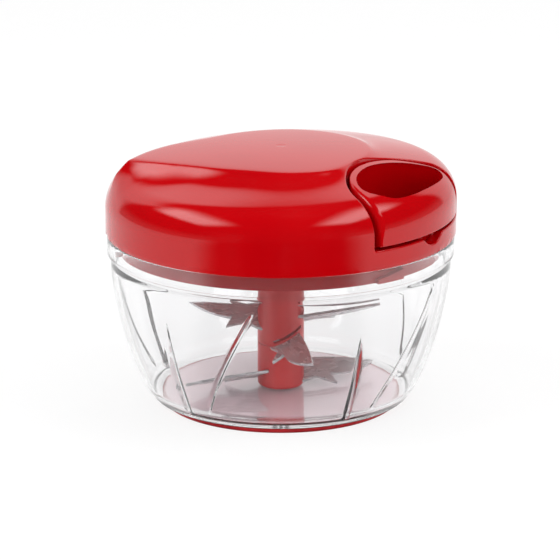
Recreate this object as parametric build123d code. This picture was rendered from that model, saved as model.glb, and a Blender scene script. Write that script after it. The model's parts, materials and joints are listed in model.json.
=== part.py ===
"""Hand food chopper: clear bowl, three blades on a rotor, and a lid with a pull-cord reel.

Frame: origin under the middle of the base pad, +Z up, +X the way the handle is pulled.
The lid sits seated but unlocked: its lugs stand in the gaps beside the bowl's lock ramps.
"""

from build123d import *
import math
import os

os.makedirs("parts", exist_ok=True)

# General values
OVERRUN = 5.0
FLAT_GAP = 0.2
CURVED_GAP = 0.3
RUNNING_GAP = 0.05

# Bowl
PAD_INSET = 2.25
PAD_THICKNESS = 2.2
PAD_EDGE = 0.6
BOWL_BAND_RADIUS = 60.4
BOWL_BAND_HEIGHT = 52.3
BOWL_WALL = 2.2
BOWL_FLOOR = 2.3
BOWL_FOOT_ROUND = 1.6
RIM_STEP = 1.1
RIM_WALL = 2.7
RIM_HEIGHT = 7.1
# Outside of the bowl wall: radius share of the band radius, height share of the band height
BOWL_WALL_SHARES = ((0.7425, 0.0), (0.807, 0.087), (0.853, 0.202), (0.9074, 0.375),
                    (0.9597, 0.606), (0.9917, 0.817), (1.0, 1.0))

# Ribs inside the bowl
RIB_COUNT = 5
RIB_FIRST_HEADING = 42.5
RIB_TOP_DROP = 14.5
RIB_INSET = 5.25
RIB_THICKNESS = 2.2
BEAD_TOP_HEADING = 4.5
BEAD_FOOT_HEADING = -17.5
BEAD_TOP_DROP = 6.5
BEAD_FOOT_RISE = 3.5
BEAD_WIDTH = 1.3
BEAD_PROUD = 0.9

# Pivot pin and its boss
PIN_RADIUS = 2.0
PIN_LENGTH = 12.6
PIN_SEAT = 1.6
PIN_ROUND_SHARE = 0.6
BOSS_RADIUS = 4.0
BOSS_HEIGHT = 1.4

# Lid lock
LOCK_COUNT = 3
LOCK_TURN = 12.5
RAMP_START_HEADING = -39.5
RAMP_SPAN = 13.5
RAMP_RISE = 2.4
RAMP_DEPTH = 4.3
RAMP_THICKNESS = 1.1
RAMP_REACH = 1.5
LUG_SPAN = 11.0
LUG_GAP_HEADING = 1.5
LUG_REACH = 1.7
LUG_GAP = 0.2

# Rotor
STEM_RADIUS = 8.3
STEM_FOOT_GAP = 0.5
STEM_LOWER_LENGTH = 14.4
STEM_TOP_DROP = 3.0
STEM_SPIGOT_RADIUS = 5.4
STEM_SPIGOT_HEIGHT = 8.0
STEM_EDGE = 0.7
BLADE_THICKNESS = 1.0
BLADE_CLEARANCE = 3.6
BLADE_ROOT_HALF_WIDTH = 6.0
BLADE_PITCH = 25.0
BLADE_RING_RADIUS = 7.0
BLADE_HOLE_RADIUS = 4.4
# Outline of an arm: distance as a share of its length, side as a share of the root's half width
BLADE_SPINE_SHARES = ((1.0, 0.9), (0.6, 1.08), (0.0, 1.0))
BLADE_ROOT_SHARES = ((0.0, 1.0), (0.0, -1.0), (0.25, -0.55), (0.46, -1.15), (0.41, -0.35))
BLADE_BELLY_SHARES = ((0.41, -0.35), (0.64, -0.2), (0.86, 0.3), (1.0, 0.9))
# Rise above the foot or the joint of the stem
BLADE_LOWER_RISE = 3.0
BLADE_MIDDLE_RISE = 4.4
BLADE_UPPER_RISE = 11.2
# Heading and slope of the arms of each blade
BLADE_LOWER_SET = (48.5, 0.0)
BLADE_MIDDLE_SET = (-40.5, -3.0)
BLADE_UPPER_SET = (31.5, 9.0)

# Drive between reel and rotor
SHAFT_RADIUS = 2.5
SOCKET_RADIUS = 6.2
SOCKET_DEPTH = 6.0
DOG_COUNT = 3
DOG_RADIUS = 5.8
DOG_CORE_RADIUS = 3.7
DOG_SPAN = 18.0
DOG_FOOT_GAP = 0.8
DOG_TOP_GAP = 1.4

# Lid cover: round part, with a crown that is highest towards one heading, and the plateau on it
LID_OVERHANG = 0.5
LID_FOOT_GAP = 0.1
LID_WALL = 2.2
SHOULDER_RADIUS = 11.0
DOME_CROWN_RADIUS = 265.0
DOME_TILT = 2.23
DOME_TILT_HEADING = 31.5
DOME_COVER = 1.8
PLATEAU_RISE = 1.2
PLATEAU_CROWN_RADIUS = 480.0
PLATEAU_DEPTH = 13.0
PLATEAU_SLOPE = 58.0
PLATEAU_TIP_HEADING = 219.5
# Plateau outline from its tip: turn in degrees, distance from the axis as a share of the lid's radius
PLATEAU_SHARES = ((0, 0.866), (13, 0.724), (27, 0.622), (45, 0.560), (64, 0.531), (90, 0.552),
                  (110, 0.556), (135, 0.514), (175, 0.507), (215, 0.487), (245, 0.466), (280, 0.4435),
                  (307, 0.462), (320, 0.494), (330, 0.560), (340, 0.655), (352, 0.778))

# Handle, its pocket and its finger hole
HANDLE_BACK = 31.2
HANDLE_CENTRE_INSET = 2.0
HANDLE_FOOT_GAP = 1.0
HANDLE_SIDE_WALL = 4.0
HANDLE_FRONT_WALL = 3.1
HOLE_CORNER = 4.5
POCKET_GAP = 1.3
POCKET_WALL = 1.8
POCKET_FLOOR_LIFT = 0.8
SCALLOP_RADIUS = 8.0
SCALLOP_LIFT = 2.2
SCALLOP_DEPTH = 9.0

# Lid base plate
BASE_PLATE_THICKNESS = 2.0
SKIRT_GAP = 2.0
SKIRT_WALL = 2.0
SKIRT_DEPTH = 7.4
COLLAR_GAP = 0.7
COLLAR_WALL = 2.0
COLLAR_DEPTH = 6.2
SEAL_SIDE_GAP = 0.4
SEAL_WIDTH = 2.1
SEAL_HEIGHT = 1.6
POST_RADIUS = 3.6
POST_INSET = 7.8
POST_HEADINGS = (58.0, 128.0, 232.0, 302.0)
SCREW_RADIUS = 1.3
SCREW_HEAD_RADIUS = 2.5
SCREW_HEAD_HEIGHT = 1.6
SCREW_LENGTH = 9.0

# Reel
BUSH_RADIUS = 5.0
BUSH_FLANGE_RADIUS = 7.0
BUSH_FLANGE = 0.9
REEL_BOSS_RADIUS = 7.6
REEL_BOSS_LENGTH = 3.2
REEL_FOOT_GAP = 0.5
WASHER_RADIUS = 6.0
WASHER_THICKNESS = 0.5
REEL_FLANGE_RADIUS = 23.6
REEL_FLANGE = 1.4
REEL_CORE_RADIUS = 15.2
REEL_GROOVE = 5.8
REEL_HUB_RADIUS = 5.0
REEL_RIM_WALL = 1.8
CORD_RADIUS = 0.9
CORD_LAP_RADIUS = 18.0
CORD_LAP_ANGLE = 120.0
CORD_BEND = 3.0

# Recoil spring and its housing
HOUSING_RADIUS = 18.6
HOUSING_WALL = 1.8
HOUSING_GAP = 0.1
HOUSING_TOP = 1.6
HOUSING_HEIGHT = 8.0
SPRING_COVER = 0.8
SPRING_STRIP = 0.4
SPRING_INNER_RADIUS = 5.6
SPRING_OUTER_RADIUS = 16.2
SPRING_TURNS = 7
SPRING_SIDE_GAP = 0.5
EAR_CIRCLE = 21.4
EAR_RADIUS = 3.6
EAR_SCREW_LENGTH = 3.2
EAR_HEADINGS = (70.0, 190.0, 310.0)
CEILING_BOSS_RADIUS = 6.4
UPPER_BUSH_LENGTH = 4.0
SHAFT_TOP_RISE = 1.4

# Cord end in the handle
GROMMET_BORE = 1.6
GROMMET_RADIUS = 3.0
GROMMET_FLANGE_RADIUS = 4.0
GROMMET_FLANGE = 0.7
BLOCK_HALF_WIDTH = 6.0
BLOCK_LENGTH = 9.0
BLOCK_HEIGHT = 6.2
CORD_HOLE_RADIUS = 1.3
KNOT_RADIUS = 2.1
KNOT_RECESS_RADIUS = 2.5
KNOT_RECESS_DEPTH = 5.4
PLUG_LENGTH = 1.0

# Radii and heights of the bowl that follow from the values above
BOWL_FOOT_RADIUS = BOWL_BAND_RADIUS * BOWL_WALL_SHARES[0][0]
PAD_RADIUS = BOWL_FOOT_RADIUS - PAD_INSET
RIB_FOOT_RADIUS = BOWL_FOOT_RADIUS - RIB_INSET
RIM_RADIUS = BOWL_BAND_RADIUS + RIM_STEP
RIM_INNER_RADIUS = RIM_RADIUS - RIM_WALL
PAD_TOP = PAD_THICKNESS
FLOOR_TOP = PAD_TOP + BOWL_FLOOR
BAND_HEIGHT = PAD_TOP + BOWL_BAND_HEIGHT
RIM_TOP = BAND_HEIGHT + RIM_HEIGHT
RIB_TOP_HEIGHT = BAND_HEIGHT - RIB_TOP_DROP
BEAD_TOP_HEIGHT = BAND_HEIGHT - BEAD_TOP_DROP
BEAD_FOOT_HEIGHT = FLOOR_TOP + BEAD_FOOT_RISE
RAMP_FOOT_HEIGHT = RIM_TOP - RAMP_DEPTH
LUG_START_HEADING = RAMP_START_HEADING + RAMP_SPAN + LUG_GAP_HEADING

# Those of the lid base and the rotor
LID_RADIUS = RIM_RADIUS + LID_OVERHANG
LID_FOOT_HEIGHT = RIM_TOP + LID_FOOT_GAP
BASE_PLATE_HEIGHT = RIM_TOP + FLAT_GAP + SEAL_HEIGHT
BASE_PLATE_TOP = BASE_PLATE_HEIGHT + BASE_PLATE_THICKNESS
SEAL_RADIUS = LID_RADIUS - LID_WALL - SEAL_SIDE_GAP
SKIRT_RADIUS = RIM_INNER_RADIUS - SKIRT_GAP
SKIRT_FOOT_HEIGHT = BASE_PLATE_HEIGHT - SKIRT_DEPTH
POST_CIRCLE = SKIRT_RADIUS - SKIRT_WALL - POST_INSET
COLLAR_FOOT_HEIGHT = BASE_PLATE_HEIGHT - COLLAR_DEPTH
STEM_FOOT = FLOOR_TOP + BOSS_HEIGHT + STEM_FOOT_GAP
STEM_JOINT_HEIGHT = STEM_FOOT + STEM_LOWER_LENGTH
STEM_TOP_HEIGHT = BASE_PLATE_HEIGHT - STEM_TOP_DROP
BLADE_REACH = RIB_FOOT_RADIUS - BLADE_CLEARANCE
DOG_FOOT_HEIGHT = STEM_TOP_HEIGHT - SOCKET_DEPTH + DOG_FOOT_GAP
DOG_TOP_HEIGHT = BASE_PLATE_HEIGHT - DOG_TOP_GAP

# Those of the reel, the spring housing, the lid's skin and the handle, from the plate up
REEL_BOSS_HEIGHT = BASE_PLATE_TOP + REEL_BOSS_LENGTH
REEL_FOOT_HEIGHT = REEL_BOSS_HEIGHT + BUSH_FLANGE + REEL_FOOT_GAP + WASHER_THICKNESS
GROOVE_FOOT = REEL_FOOT_HEIGHT + REEL_FLANGE
GROOVE_TOP = GROOVE_FOOT + REEL_GROOVE
CORD_HEIGHT = (GROOVE_FOOT + GROOVE_TOP) / 2
HOUSING_LOW_HEIGHT = GROOVE_TOP + REEL_FLANGE + HOUSING_GAP + SPRING_COVER
HOUSING_TOP_HEIGHT = HOUSING_LOW_HEIGHT + HOUSING_HEIGHT
SHAFT_TOP_HEIGHT = HOUSING_TOP_HEIGHT + SHAFT_TOP_RISE
LID_DOME_HEIGHT = SHAFT_TOP_HEIGHT + DOME_COVER
LID_TOP_HEIGHT = LID_DOME_HEIGHT + PLATEAU_RISE
POCKET_FLOOR_HEIGHT = REEL_FOOT_HEIGHT + POCKET_FLOOR_LIFT
HANDLE_FOOT_HEIGHT = POCKET_FLOOR_HEIGHT + HANDLE_FOOT_GAP
HANDLE_CENTRE = LID_RADIUS - HANDLE_CENTRE_INSET
HANDLE_PLAN_RADIUS = HANDLE_CENTRE - HANDLE_BACK
POCKET_BACK = HANDLE_BACK - POCKET_GAP
GROMMET_FACE = POCKET_BACK - POCKET_WALL


def save(solid, name):
    """Write one piece under its own name."""
    export_step(solid, f"parts/{name}.step")


def disc(radius, low, high, x=0.0, y=0.0):
    """Upright cylinder between two heights."""
    return Pos(x, y, low) * Cylinder(radius, high - low, align=(Align.CENTER, Align.CENTER, Align.MIN))


def ring(outer, inner, low, high):
    """Upright tube between two heights."""
    return disc(outer, low, high) - disc(inner, low - OVERRUN, high + OVERRUN)


def slab(x_low, x_high, y_low, y_high, z_low, z_high):
    """Box between six faces."""
    box = Box(x_high - x_low, y_high - y_low, z_high - z_low, align=(Align.MIN,) * 3)
    return Pos(x_low, y_low, z_low) * box


def sector(outer, inner, low, high, heading, span):
    """Part of a tube from a heading over a span in degrees."""
    face = Plane.XZ * make_face(Polyline((inner, low), (outer, low), (outer, high), (inner, high), close=True))
    return Rot(0, 0, heading) * revolve(face, Axis.Z, span)


def around(solid, count, first=0.0):
    """The solid turned about the axis to each of the evenly spaced headings."""
    return [Rot(0, 0, first + 360 / count * k) * solid for k in range(count)]


def polar(radius, heading):
    """Plan position at a distance from the axis on a heading in degrees."""
    angle = math.radians(heading)
    return radius * math.cos(angle), radius * math.sin(angle)


# Bowl

def bowl_form(inset, low, high):
    """Solid inside the bowl's wall, moved in by inset, between two heights."""
    points = [(BOWL_BAND_RADIUS * r - inset, PAD_TOP + BOWL_BAND_HEIGHT * h) for r, h in BOWL_WALL_SHARES]
    wall = Spline(*points)
    sides = Polyline(points[-1], (0, BAND_HEIGHT), (0, PAD_TOP), points[0])
    whole = revolve(Plane.XZ * make_face(wall + sides), Axis.Z)
    return whole & disc(BOWL_BAND_RADIUS, low, high)


def lock_slab(rise_from, thickness, heading):
    """Sloped slab whose underside follows the lock ramps, centred on a heading."""
    middle = (RIM_INNER_RADIUS + SKIRT_RADIUS) / 2
    run = math.radians(RAMP_SPAN) * middle
    slope = math.degrees(math.atan(RAMP_RISE / run))
    plate = Box(2 * OVERRUN + LUG_REACH, 2 * run, thickness, align=(Align.CENTER, Align.CENTER, Align.MIN))
    return Rot(0, 0, heading) * Pos(middle, 0, rise_from) * Rot(slope, 0, 0) * plate


def make_bowl():
    """Clear bowl with foot, rim band, inner ribs, slanted beads and lock ramps."""
    outside = bowl_form(0, PAD_TOP, BAND_HEIGHT)
    foot_edge = outside.faces().sort_by(Axis.Z)[0].edges()
    outside = fillet(foot_edge, BOWL_FOOT_ROUND)
    shell = outside - bowl_form(BOWL_WALL, FLOOR_TOP, BAND_HEIGHT + OVERRUN)
    rim = ring(RIM_RADIUS, RIM_INNER_RADIUS, BAND_HEIGHT, RIM_TOP)
    shell += rim + ring(BOWL_BAND_RADIUS, BOWL_BAND_RADIUS - BOWL_WALL, BAND_HEIGHT - RIM_WALL, BAND_HEIGHT)

    rib_profile = Polyline((RIB_FOOT_RADIUS, FLOOR_TOP), (BOWL_BAND_RADIUS, FLOOR_TOP),
                           (BOWL_BAND_RADIUS, RIB_TOP_HEIGHT),
                           (BOWL_BAND_RADIUS * BOWL_WALL_SHARES[4][0] - BOWL_WALL, RIB_TOP_HEIGHT), close=True)
    rib = extrude(Plane.XZ * make_face(rib_profile), RIB_THICKNESS / 2, both=True) & outside
    shell += around(rib, RIB_COUNT, RIB_FIRST_HEADING)

    lining = outside - bowl_form(BOWL_WALL + BEAD_PROUD, FLOOR_TOP, BAND_HEIGHT)
    top_x, top_y = polar(BOWL_BAND_RADIUS, BEAD_TOP_HEADING)
    foot_x, foot_y = polar(BOWL_BAND_RADIUS, BEAD_FOOT_HEADING)
    rise = BEAD_TOP_HEIGHT - BEAD_FOOT_HEIGHT
    along = Vector(top_x - foot_x, top_y - foot_y, rise)
    middle = Vector((top_x + foot_x) / 2, (top_y + foot_y) / 2, (BEAD_TOP_HEIGHT + BEAD_FOOT_HEIGHT) / 2)
    outward = Vector(middle.X, middle.Y, 0)
    across = along.cross(outward)
    plane = Plane(origin=middle, x_dir=outward - along * (outward.dot(along) / along.dot(along)), z_dir=across)
    bead_slab = plane * Box(BOWL_BAND_RADIUS, along.length, BEAD_WIDTH)
    shell += around(bead_slab & lining, RIB_COUNT)

    ramp_middle = RAMP_START_HEADING + RAMP_SPAN / 2
    ramp_zone = sector(RIM_INNER_RADIUS + RIM_WALL / 2, RIM_INNER_RADIUS - RAMP_REACH,
                       SKIRT_FOOT_HEIGHT, RIM_TOP, RAMP_START_HEADING, RAMP_SPAN)
    ramp = ramp_zone & lock_slab(RAMP_FOOT_HEIGHT + RAMP_RISE / 2, RAMP_THICKNESS, ramp_middle)
    shell += around(ramp, LOCK_COUNT)

    boss = disc(BOSS_RADIUS, FLOOR_TOP, FLOOR_TOP + BOSS_HEIGHT)
    pin_hole = disc(PIN_RADIUS, FLOOR_TOP - PIN_SEAT, FLOOR_TOP + BOSS_HEIGHT + OVERRUN)
    return shell + boss - pin_hole


def make_pad():
    """Anti-slip pad, chamfered where it meets the table."""
    pad = disc(PAD_RADIUS, 0, PAD_THICKNESS)
    return chamfer(pad.edges().sort_by(Axis.Z)[0], PAD_EDGE)


def make_pin():
    """Pivot pin with a domed top."""
    low = FLOOR_TOP - PIN_SEAT
    pin = disc(PIN_RADIUS, low, low + PIN_LENGTH)
    return fillet(pin.edges().sort_by(Axis.Z)[-1], PIN_RADIUS * PIN_ROUND_SHARE)


# Rotor

def blade_arm(root):
    """One arm along +X from its root, lying flat: straight back, hooked barb and curved cutting edge."""
    def outline(shares):
        return [(root + (BLADE_REACH - root) * along, BLADE_ROOT_HALF_WIDTH * side) for along, side in shares]

    spine = Spline(*outline(BLADE_SPINE_SHARES))
    edge = Polyline(*outline(BLADE_ROOT_SHARES))
    belly = Spline(*outline(BLADE_BELLY_SHARES))
    flat = make_face(spine + edge + belly)
    return Pos(0, 0, -BLADE_THICKNESS / 2) * extrude(flat, BLADE_THICKNESS)


def make_blade(height, heading, rise):
    """Stamped blade: a flat ring in the stem and two pitched arms."""
    arm = blade_arm(BLADE_HOLE_RADIUS + BLADE_THICKNESS / 2)
    arm = Rot(0, -rise, 0) * Rot(BLADE_PITCH, 0, 0) * arm
    hub = ring(BLADE_RING_RADIUS, BLADE_HOLE_RADIUS, -BLADE_THICKNESS / 2, BLADE_THICKNESS / 2)
    arms = arm + Rot(0, 0, 180) * arm - disc(BLADE_HOLE_RADIUS, -BLADE_REACH, BLADE_REACH)
    return Pos(0, 0, height) * Rot(0, 0, heading) * (hub + arms)


def make_rotor():
    """Lower and upper half of the stem, moulded round the three blades."""
    blades = [make_blade(STEM_FOOT + BLADE_LOWER_RISE, *BLADE_LOWER_SET),
              make_blade(STEM_JOINT_HEIGHT + BLADE_MIDDLE_RISE, *BLADE_MIDDLE_SET),
              make_blade(STEM_JOINT_HEIGHT + BLADE_UPPER_RISE, *BLADE_UPPER_SET)]
    lower = disc(STEM_RADIUS, STEM_FOOT, STEM_JOINT_HEIGHT)
    lower = chamfer(lower.edges().sort_by(Axis.Z)[0], STEM_EDGE)
    lower += disc(STEM_SPIGOT_RADIUS, STEM_JOINT_HEIGHT, STEM_JOINT_HEIGHT + STEM_SPIGOT_HEIGHT)
    bore_top = FLOOR_TOP - PIN_SEAT + PIN_LENGTH + STEM_FOOT_GAP
    lower -= disc(PIN_RADIUS + RUNNING_GAP, STEM_FOOT - OVERRUN, bore_top)
    upper = disc(STEM_RADIUS, STEM_JOINT_HEIGHT, STEM_TOP_HEIGHT)
    upper = chamfer(upper.edges().sort_by(Axis.Z)[0], STEM_EDGE / 2)
    socket_floor = STEM_TOP_HEIGHT - SOCKET_DEPTH
    upper -= disc(SOCKET_RADIUS, socket_floor, STEM_TOP_HEIGHT + OVERRUN)
    tooth_wall = STEM_RADIUS - SOCKET_RADIUS
    tooth = sector(SOCKET_RADIUS + tooth_wall / 2, DOG_CORE_RADIUS + CURVED_GAP, socket_floor,
                   STEM_TOP_HEIGHT - STEM_EDGE, -DOG_SPAN / 2, DOG_SPAN)
    upper += around(tooth, DOG_COUNT, 180 / DOG_COUNT)
    upper -= disc(STEM_SPIGOT_RADIUS, STEM_JOINT_HEIGHT - OVERRUN, STEM_JOINT_HEIGHT + STEM_SPIGOT_HEIGHT)
    for blade in blades:
        lower -= blade
        upper -= blade
    return lower, upper, blades


# Lid

def dome_form(inset, foot):
    """Round part of the lid's skin, moved in by inset: a wall, a wide shoulder and a tilted crown."""
    tilt = math.radians(DOME_TILT)
    middle = polar(DOME_CROWN_RADIUS * math.sin(tilt), DOME_TILT_HEADING)
    depth = DOME_CROWN_RADIUS * math.cos(tilt)
    crown = Pos(*middle, LID_DOME_HEIGHT - depth) * Rot(90, 0, 0) * Sphere(DOME_CROWN_RADIUS - inset)
    dome = disc(LID_RADIUS - inset, foot, LID_TOP_HEIGHT + OVERRUN) & crown
    shoulder = dome.edges().sort_by(Axis.Z)[-1]
    return fillet(shoulder, SHOULDER_RADIUS - inset)


def plateau_outline(grow, height):
    """Closed leaf-shaped outline at a height, each point moved out by grow square to the outline."""
    corners = [Vector(*polar(LID_RADIUS * share, PLATEAU_TIP_HEADING + turn)) for turn, share in PLATEAU_SHARES]
    points = []
    for k, corner in enumerate(corners):
        along = corners[(k + 1) % len(corners)] - corners[k - 1]
        out = Vector(along.Y, -along.X).normalized()
        points.append(corner + out * grow + Vector(0, 0, height))
    return Wire([Edge.make_spline(points, periodic=True)])


def lid_form(inset, foot):
    """Solid inside the lid's skin, moved in by inset: round part and leaf-shaped plateau."""
    top = LID_TOP_HEIGHT - inset
    spread = PLATEAU_DEPTH / math.tan(math.radians(PLATEAU_SLOPE))
    low = plateau_outline(spread - inset, top - PLATEAU_DEPTH)
    plateau = Solid.make_loft([low, plateau_outline(-inset, top)], ruled=True)
    crown = Pos(0, 0, top - PLATEAU_CROWN_RADIUS) * Sphere(PLATEAU_CROWN_RADIUS)
    crown &= disc(LID_RADIUS - inset, foot, top + OVERRUN)
    return dome_form(inset, foot) + (plateau & crown)


def handle_plan(grow):
    """Plan of the handle, grown by a gap or a wall: a circle centred near the lid's wall."""
    return Pos(HANDLE_CENTRE, 0) * Circle(HANDLE_PLAN_RADIUS + grow)


def prism(plan, low, high):
    """Plan extruded between two heights."""
    return Pos(0, 0, low) * extrude(plan, high - low)


def scallop(grow):
    """Finger scallop under the handle, grown by a wall or a gap."""
    reach = LID_RADIUS + OVERRUN
    length = SCALLOP_DEPTH + grow + OVERRUN
    return Pos(reach, 0, POCKET_FLOOR_HEIGHT + SCALLOP_LIFT) * Rot(0, -90, 0) * Cylinder(
        SCALLOP_RADIUS + grow, length, align=(Align.CENTER, Align.CENTER, Align.MIN))


def make_cover(outer):
    """Lid cover: shell, handle pocket, finger scallop, plate posts and reel bosses."""
    top = LID_TOP_HEIGHT + OVERRUN
    inner = lid_form(LID_WALL, LID_FOOT_HEIGHT - LID_WALL)
    cover = outer - inner
    pocket_low = POCKET_FLOOR_HEIGHT - POCKET_WALL
    liner = outer & prism(handle_plan(POCKET_GAP + POCKET_WALL), pocket_low, top)
    scoop_low = outer & scallop(POCKET_WALL)
    posts = [disc(POST_RADIUS, BASE_PLATE_TOP, top, *polar(POST_CIRCLE, h)) for h in POST_HEADINGS]
    ears = [disc(EAR_RADIUS, HOUSING_TOP_HEIGHT, top, *polar(EAR_CIRCLE, h)) for h in EAR_HEADINGS]
    ears.append(disc(CEILING_BOSS_RADIUS, HOUSING_TOP_HEIGHT - HOUSING_TOP, top))
    holders = [post & outer for post in posts + ears]
    cover = cover + [liner, scoop_low] + holders
    cover -= prism(handle_plan(POCKET_GAP), POCKET_FLOOR_HEIGHT, top)
    cover -= scallop(0)
    grommet = Pos(POCKET_BACK + OVERRUN, 0, CORD_HEIGHT) * Rot(0, -90, 0) * Cylinder(
        GROMMET_RADIUS, POCKET_WALL + 2 * OVERRUN, align=(Align.CENTER, Align.CENTER, Align.MIN))
    cover -= grommet
    for heading in POST_HEADINGS:
        cover -= disc(SCREW_RADIUS, BASE_PLATE_TOP - OVERRUN, BASE_PLATE_HEIGHT + SCREW_LENGTH + FLAT_GAP,
                      *polar(POST_CIRCLE, heading))
    screw_top = HOUSING_TOP_HEIGHT - HOUSING_TOP + EAR_SCREW_LENGTH + FLAT_GAP
    for heading in EAR_HEADINGS:
        cover -= disc(SCREW_RADIUS, HOUSING_TOP_HEIGHT - OVERRUN, screw_top, *polar(EAR_CIRCLE, heading))
    cover -= disc(BUSH_RADIUS, HOUSING_TOP_HEIGHT - OVERRUN, SHAFT_TOP_HEIGHT + FLAT_GAP)
    return cover


def make_handle():
    """Pull handle: the lid's round part continued over the pocket, with a deep finger hole and a cord block."""
    top = LID_TOP_HEIGHT + OVERRUN
    handle = dome_form(0, LID_FOOT_HEIGHT) & prism(handle_plan(0), HANDLE_FOOT_HEIGHT, top)
    hole_plan = handle_plan(-HANDLE_SIDE_WALL) & Circle(LID_RADIUS - HANDLE_FRONT_WALL)
    hole_plan = fillet(hole_plan.vertices(), HOLE_CORNER)
    handle -= prism(hole_plan, HANDLE_FOOT_HEIGHT - OVERRUN, top)
    block = slab(HANDLE_BACK, HANDLE_BACK + BLOCK_LENGTH, -BLOCK_HALF_WIDTH, BLOCK_HALF_WIDTH,
                 HANDLE_FOOT_HEIGHT, HANDLE_FOOT_HEIGHT + BLOCK_HEIGHT)
    handle += block
    x_end = HANDLE_BACK + BLOCK_LENGTH
    handle -= Pos(HANDLE_BACK - OVERRUN, 0, CORD_HEIGHT) * Rot(0, 90, 0) * Cylinder(
        CORD_HOLE_RADIUS, OVERRUN + BLOCK_LENGTH, align=(Align.CENTER, Align.CENTER, Align.MIN))
    handle -= Pos(x_end - KNOT_RECESS_DEPTH, 0, CORD_HEIGHT) * Rot(0, 90, 0) * Cylinder(
        KNOT_RECESS_RADIUS, KNOT_RECESS_DEPTH + OVERRUN, align=(Align.CENTER, Align.CENTER, Align.MIN))
    return handle


def make_base():
    """Inner plate of the lid with skirt, rotor collar, reel boss and lock lugs."""
    plate = disc(SEAL_RADIUS + FLAT_GAP, BASE_PLATE_HEIGHT, BASE_PLATE_TOP)
    plate += ring(SKIRT_RADIUS, SKIRT_RADIUS - SKIRT_WALL, SKIRT_FOOT_HEIGHT, BASE_PLATE_HEIGHT)
    collar = STEM_RADIUS + COLLAR_GAP
    plate += ring(collar + COLLAR_WALL, collar, COLLAR_FOOT_HEIGHT, BASE_PLATE_HEIGHT)
    plate += disc(REEL_BOSS_RADIUS, BASE_PLATE_TOP, REEL_BOSS_HEIGHT)
    plate -= disc(BUSH_RADIUS, BASE_PLATE_HEIGHT - OVERRUN, REEL_BOSS_HEIGHT + OVERRUN)
    ramp_middle = RAMP_START_HEADING + RAMP_SPAN / 2
    lug_zone = sector(SKIRT_RADIUS + LUG_REACH, SKIRT_RADIUS - SKIRT_WALL / 2,
                      SKIRT_FOOT_HEIGHT, BASE_PLATE_HEIGHT, LUG_START_HEADING, LUG_SPAN)
    under = RAMP_FOOT_HEIGHT + RAMP_RISE / 2 - LUG_GAP
    above = lock_slab(under, BASE_PLATE_HEIGHT, ramp_middle + LOCK_TURN)
    plate += around(lug_zone - above, LOCK_COUNT)
    for heading in POST_HEADINGS:
        plate -= disc(SCREW_RADIUS + CURVED_GAP, BASE_PLATE_HEIGHT - OVERRUN, BASE_PLATE_TOP + OVERRUN,
                      *polar(POST_CIRCLE, heading))
    return plate - scallop(POCKET_WALL + CURVED_GAP)


def make_screws(circle, headings, head_top, length):
    """Identical pan-head screws, heads down, one at each heading."""
    screws = []
    for heading in headings:
        x, y = polar(circle, heading)
        head = disc(SCREW_HEAD_RADIUS, head_top - SCREW_HEAD_HEIGHT, head_top, x, y)
        screws.append(head + disc(SCREW_RADIUS, head_top, head_top + length, x, y))
    return Compound(children=[s.solid() for s in screws])


def make_spring(low, high):
    """Flat spiral spring: one strip of half turns, each larger than the last by half the growth of a turn."""
    halves = 2 * SPRING_TURNS
    growth = (SPRING_OUTER_RADIUS - SPRING_STRIP - SPRING_INNER_RADIUS) / halves

    def coil(shift):
        arcs = [CenterArc((growth * (k % 2), 0), SPRING_INNER_RADIUS + growth * k + shift, 180 * k, 180)
                for k in range(halves)]
        return arcs[0] @ 0, arcs[-1] @ 1, arcs

    inside_start, inside_end, inside = coil(0)
    outside_start, outside_end, outside = coil(SPRING_STRIP)
    ends = [Line(inside_end, outside_end), Line(outside_start, inside_start)]
    edges = [arc.edge() for arc in inside + outside + ends]
    return prism(make_face(edges), low, high)


def make_cord_run():
    """The cord's last lap on the reel, its run to the grommet and its turn into the handle's line."""
    bend_x = GROMMET_FACE - FLAT_GAP
    leave = math.degrees(math.acos(CORD_LAP_RADIUS / bend_x))
    start = -leave - CORD_LAP_ANGLE
    lap = CenterArc((0, 0), CORD_LAP_RADIUS, start, CORD_LAP_ANGLE)
    end = HANDLE_BACK - FLAT_GAP
    run = FilletPolyline(lap @ 1, (bend_x, 0), (end, 0), radius=CORD_BEND)
    path = Pos(0, 0, CORD_HEIGHT) * (lap + run)
    route = path.wire()
    section = Plane(origin=route @ 0, z_dir=route % 0) * Circle(CORD_RADIUS)
    return sweep(section, path=route)


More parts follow.
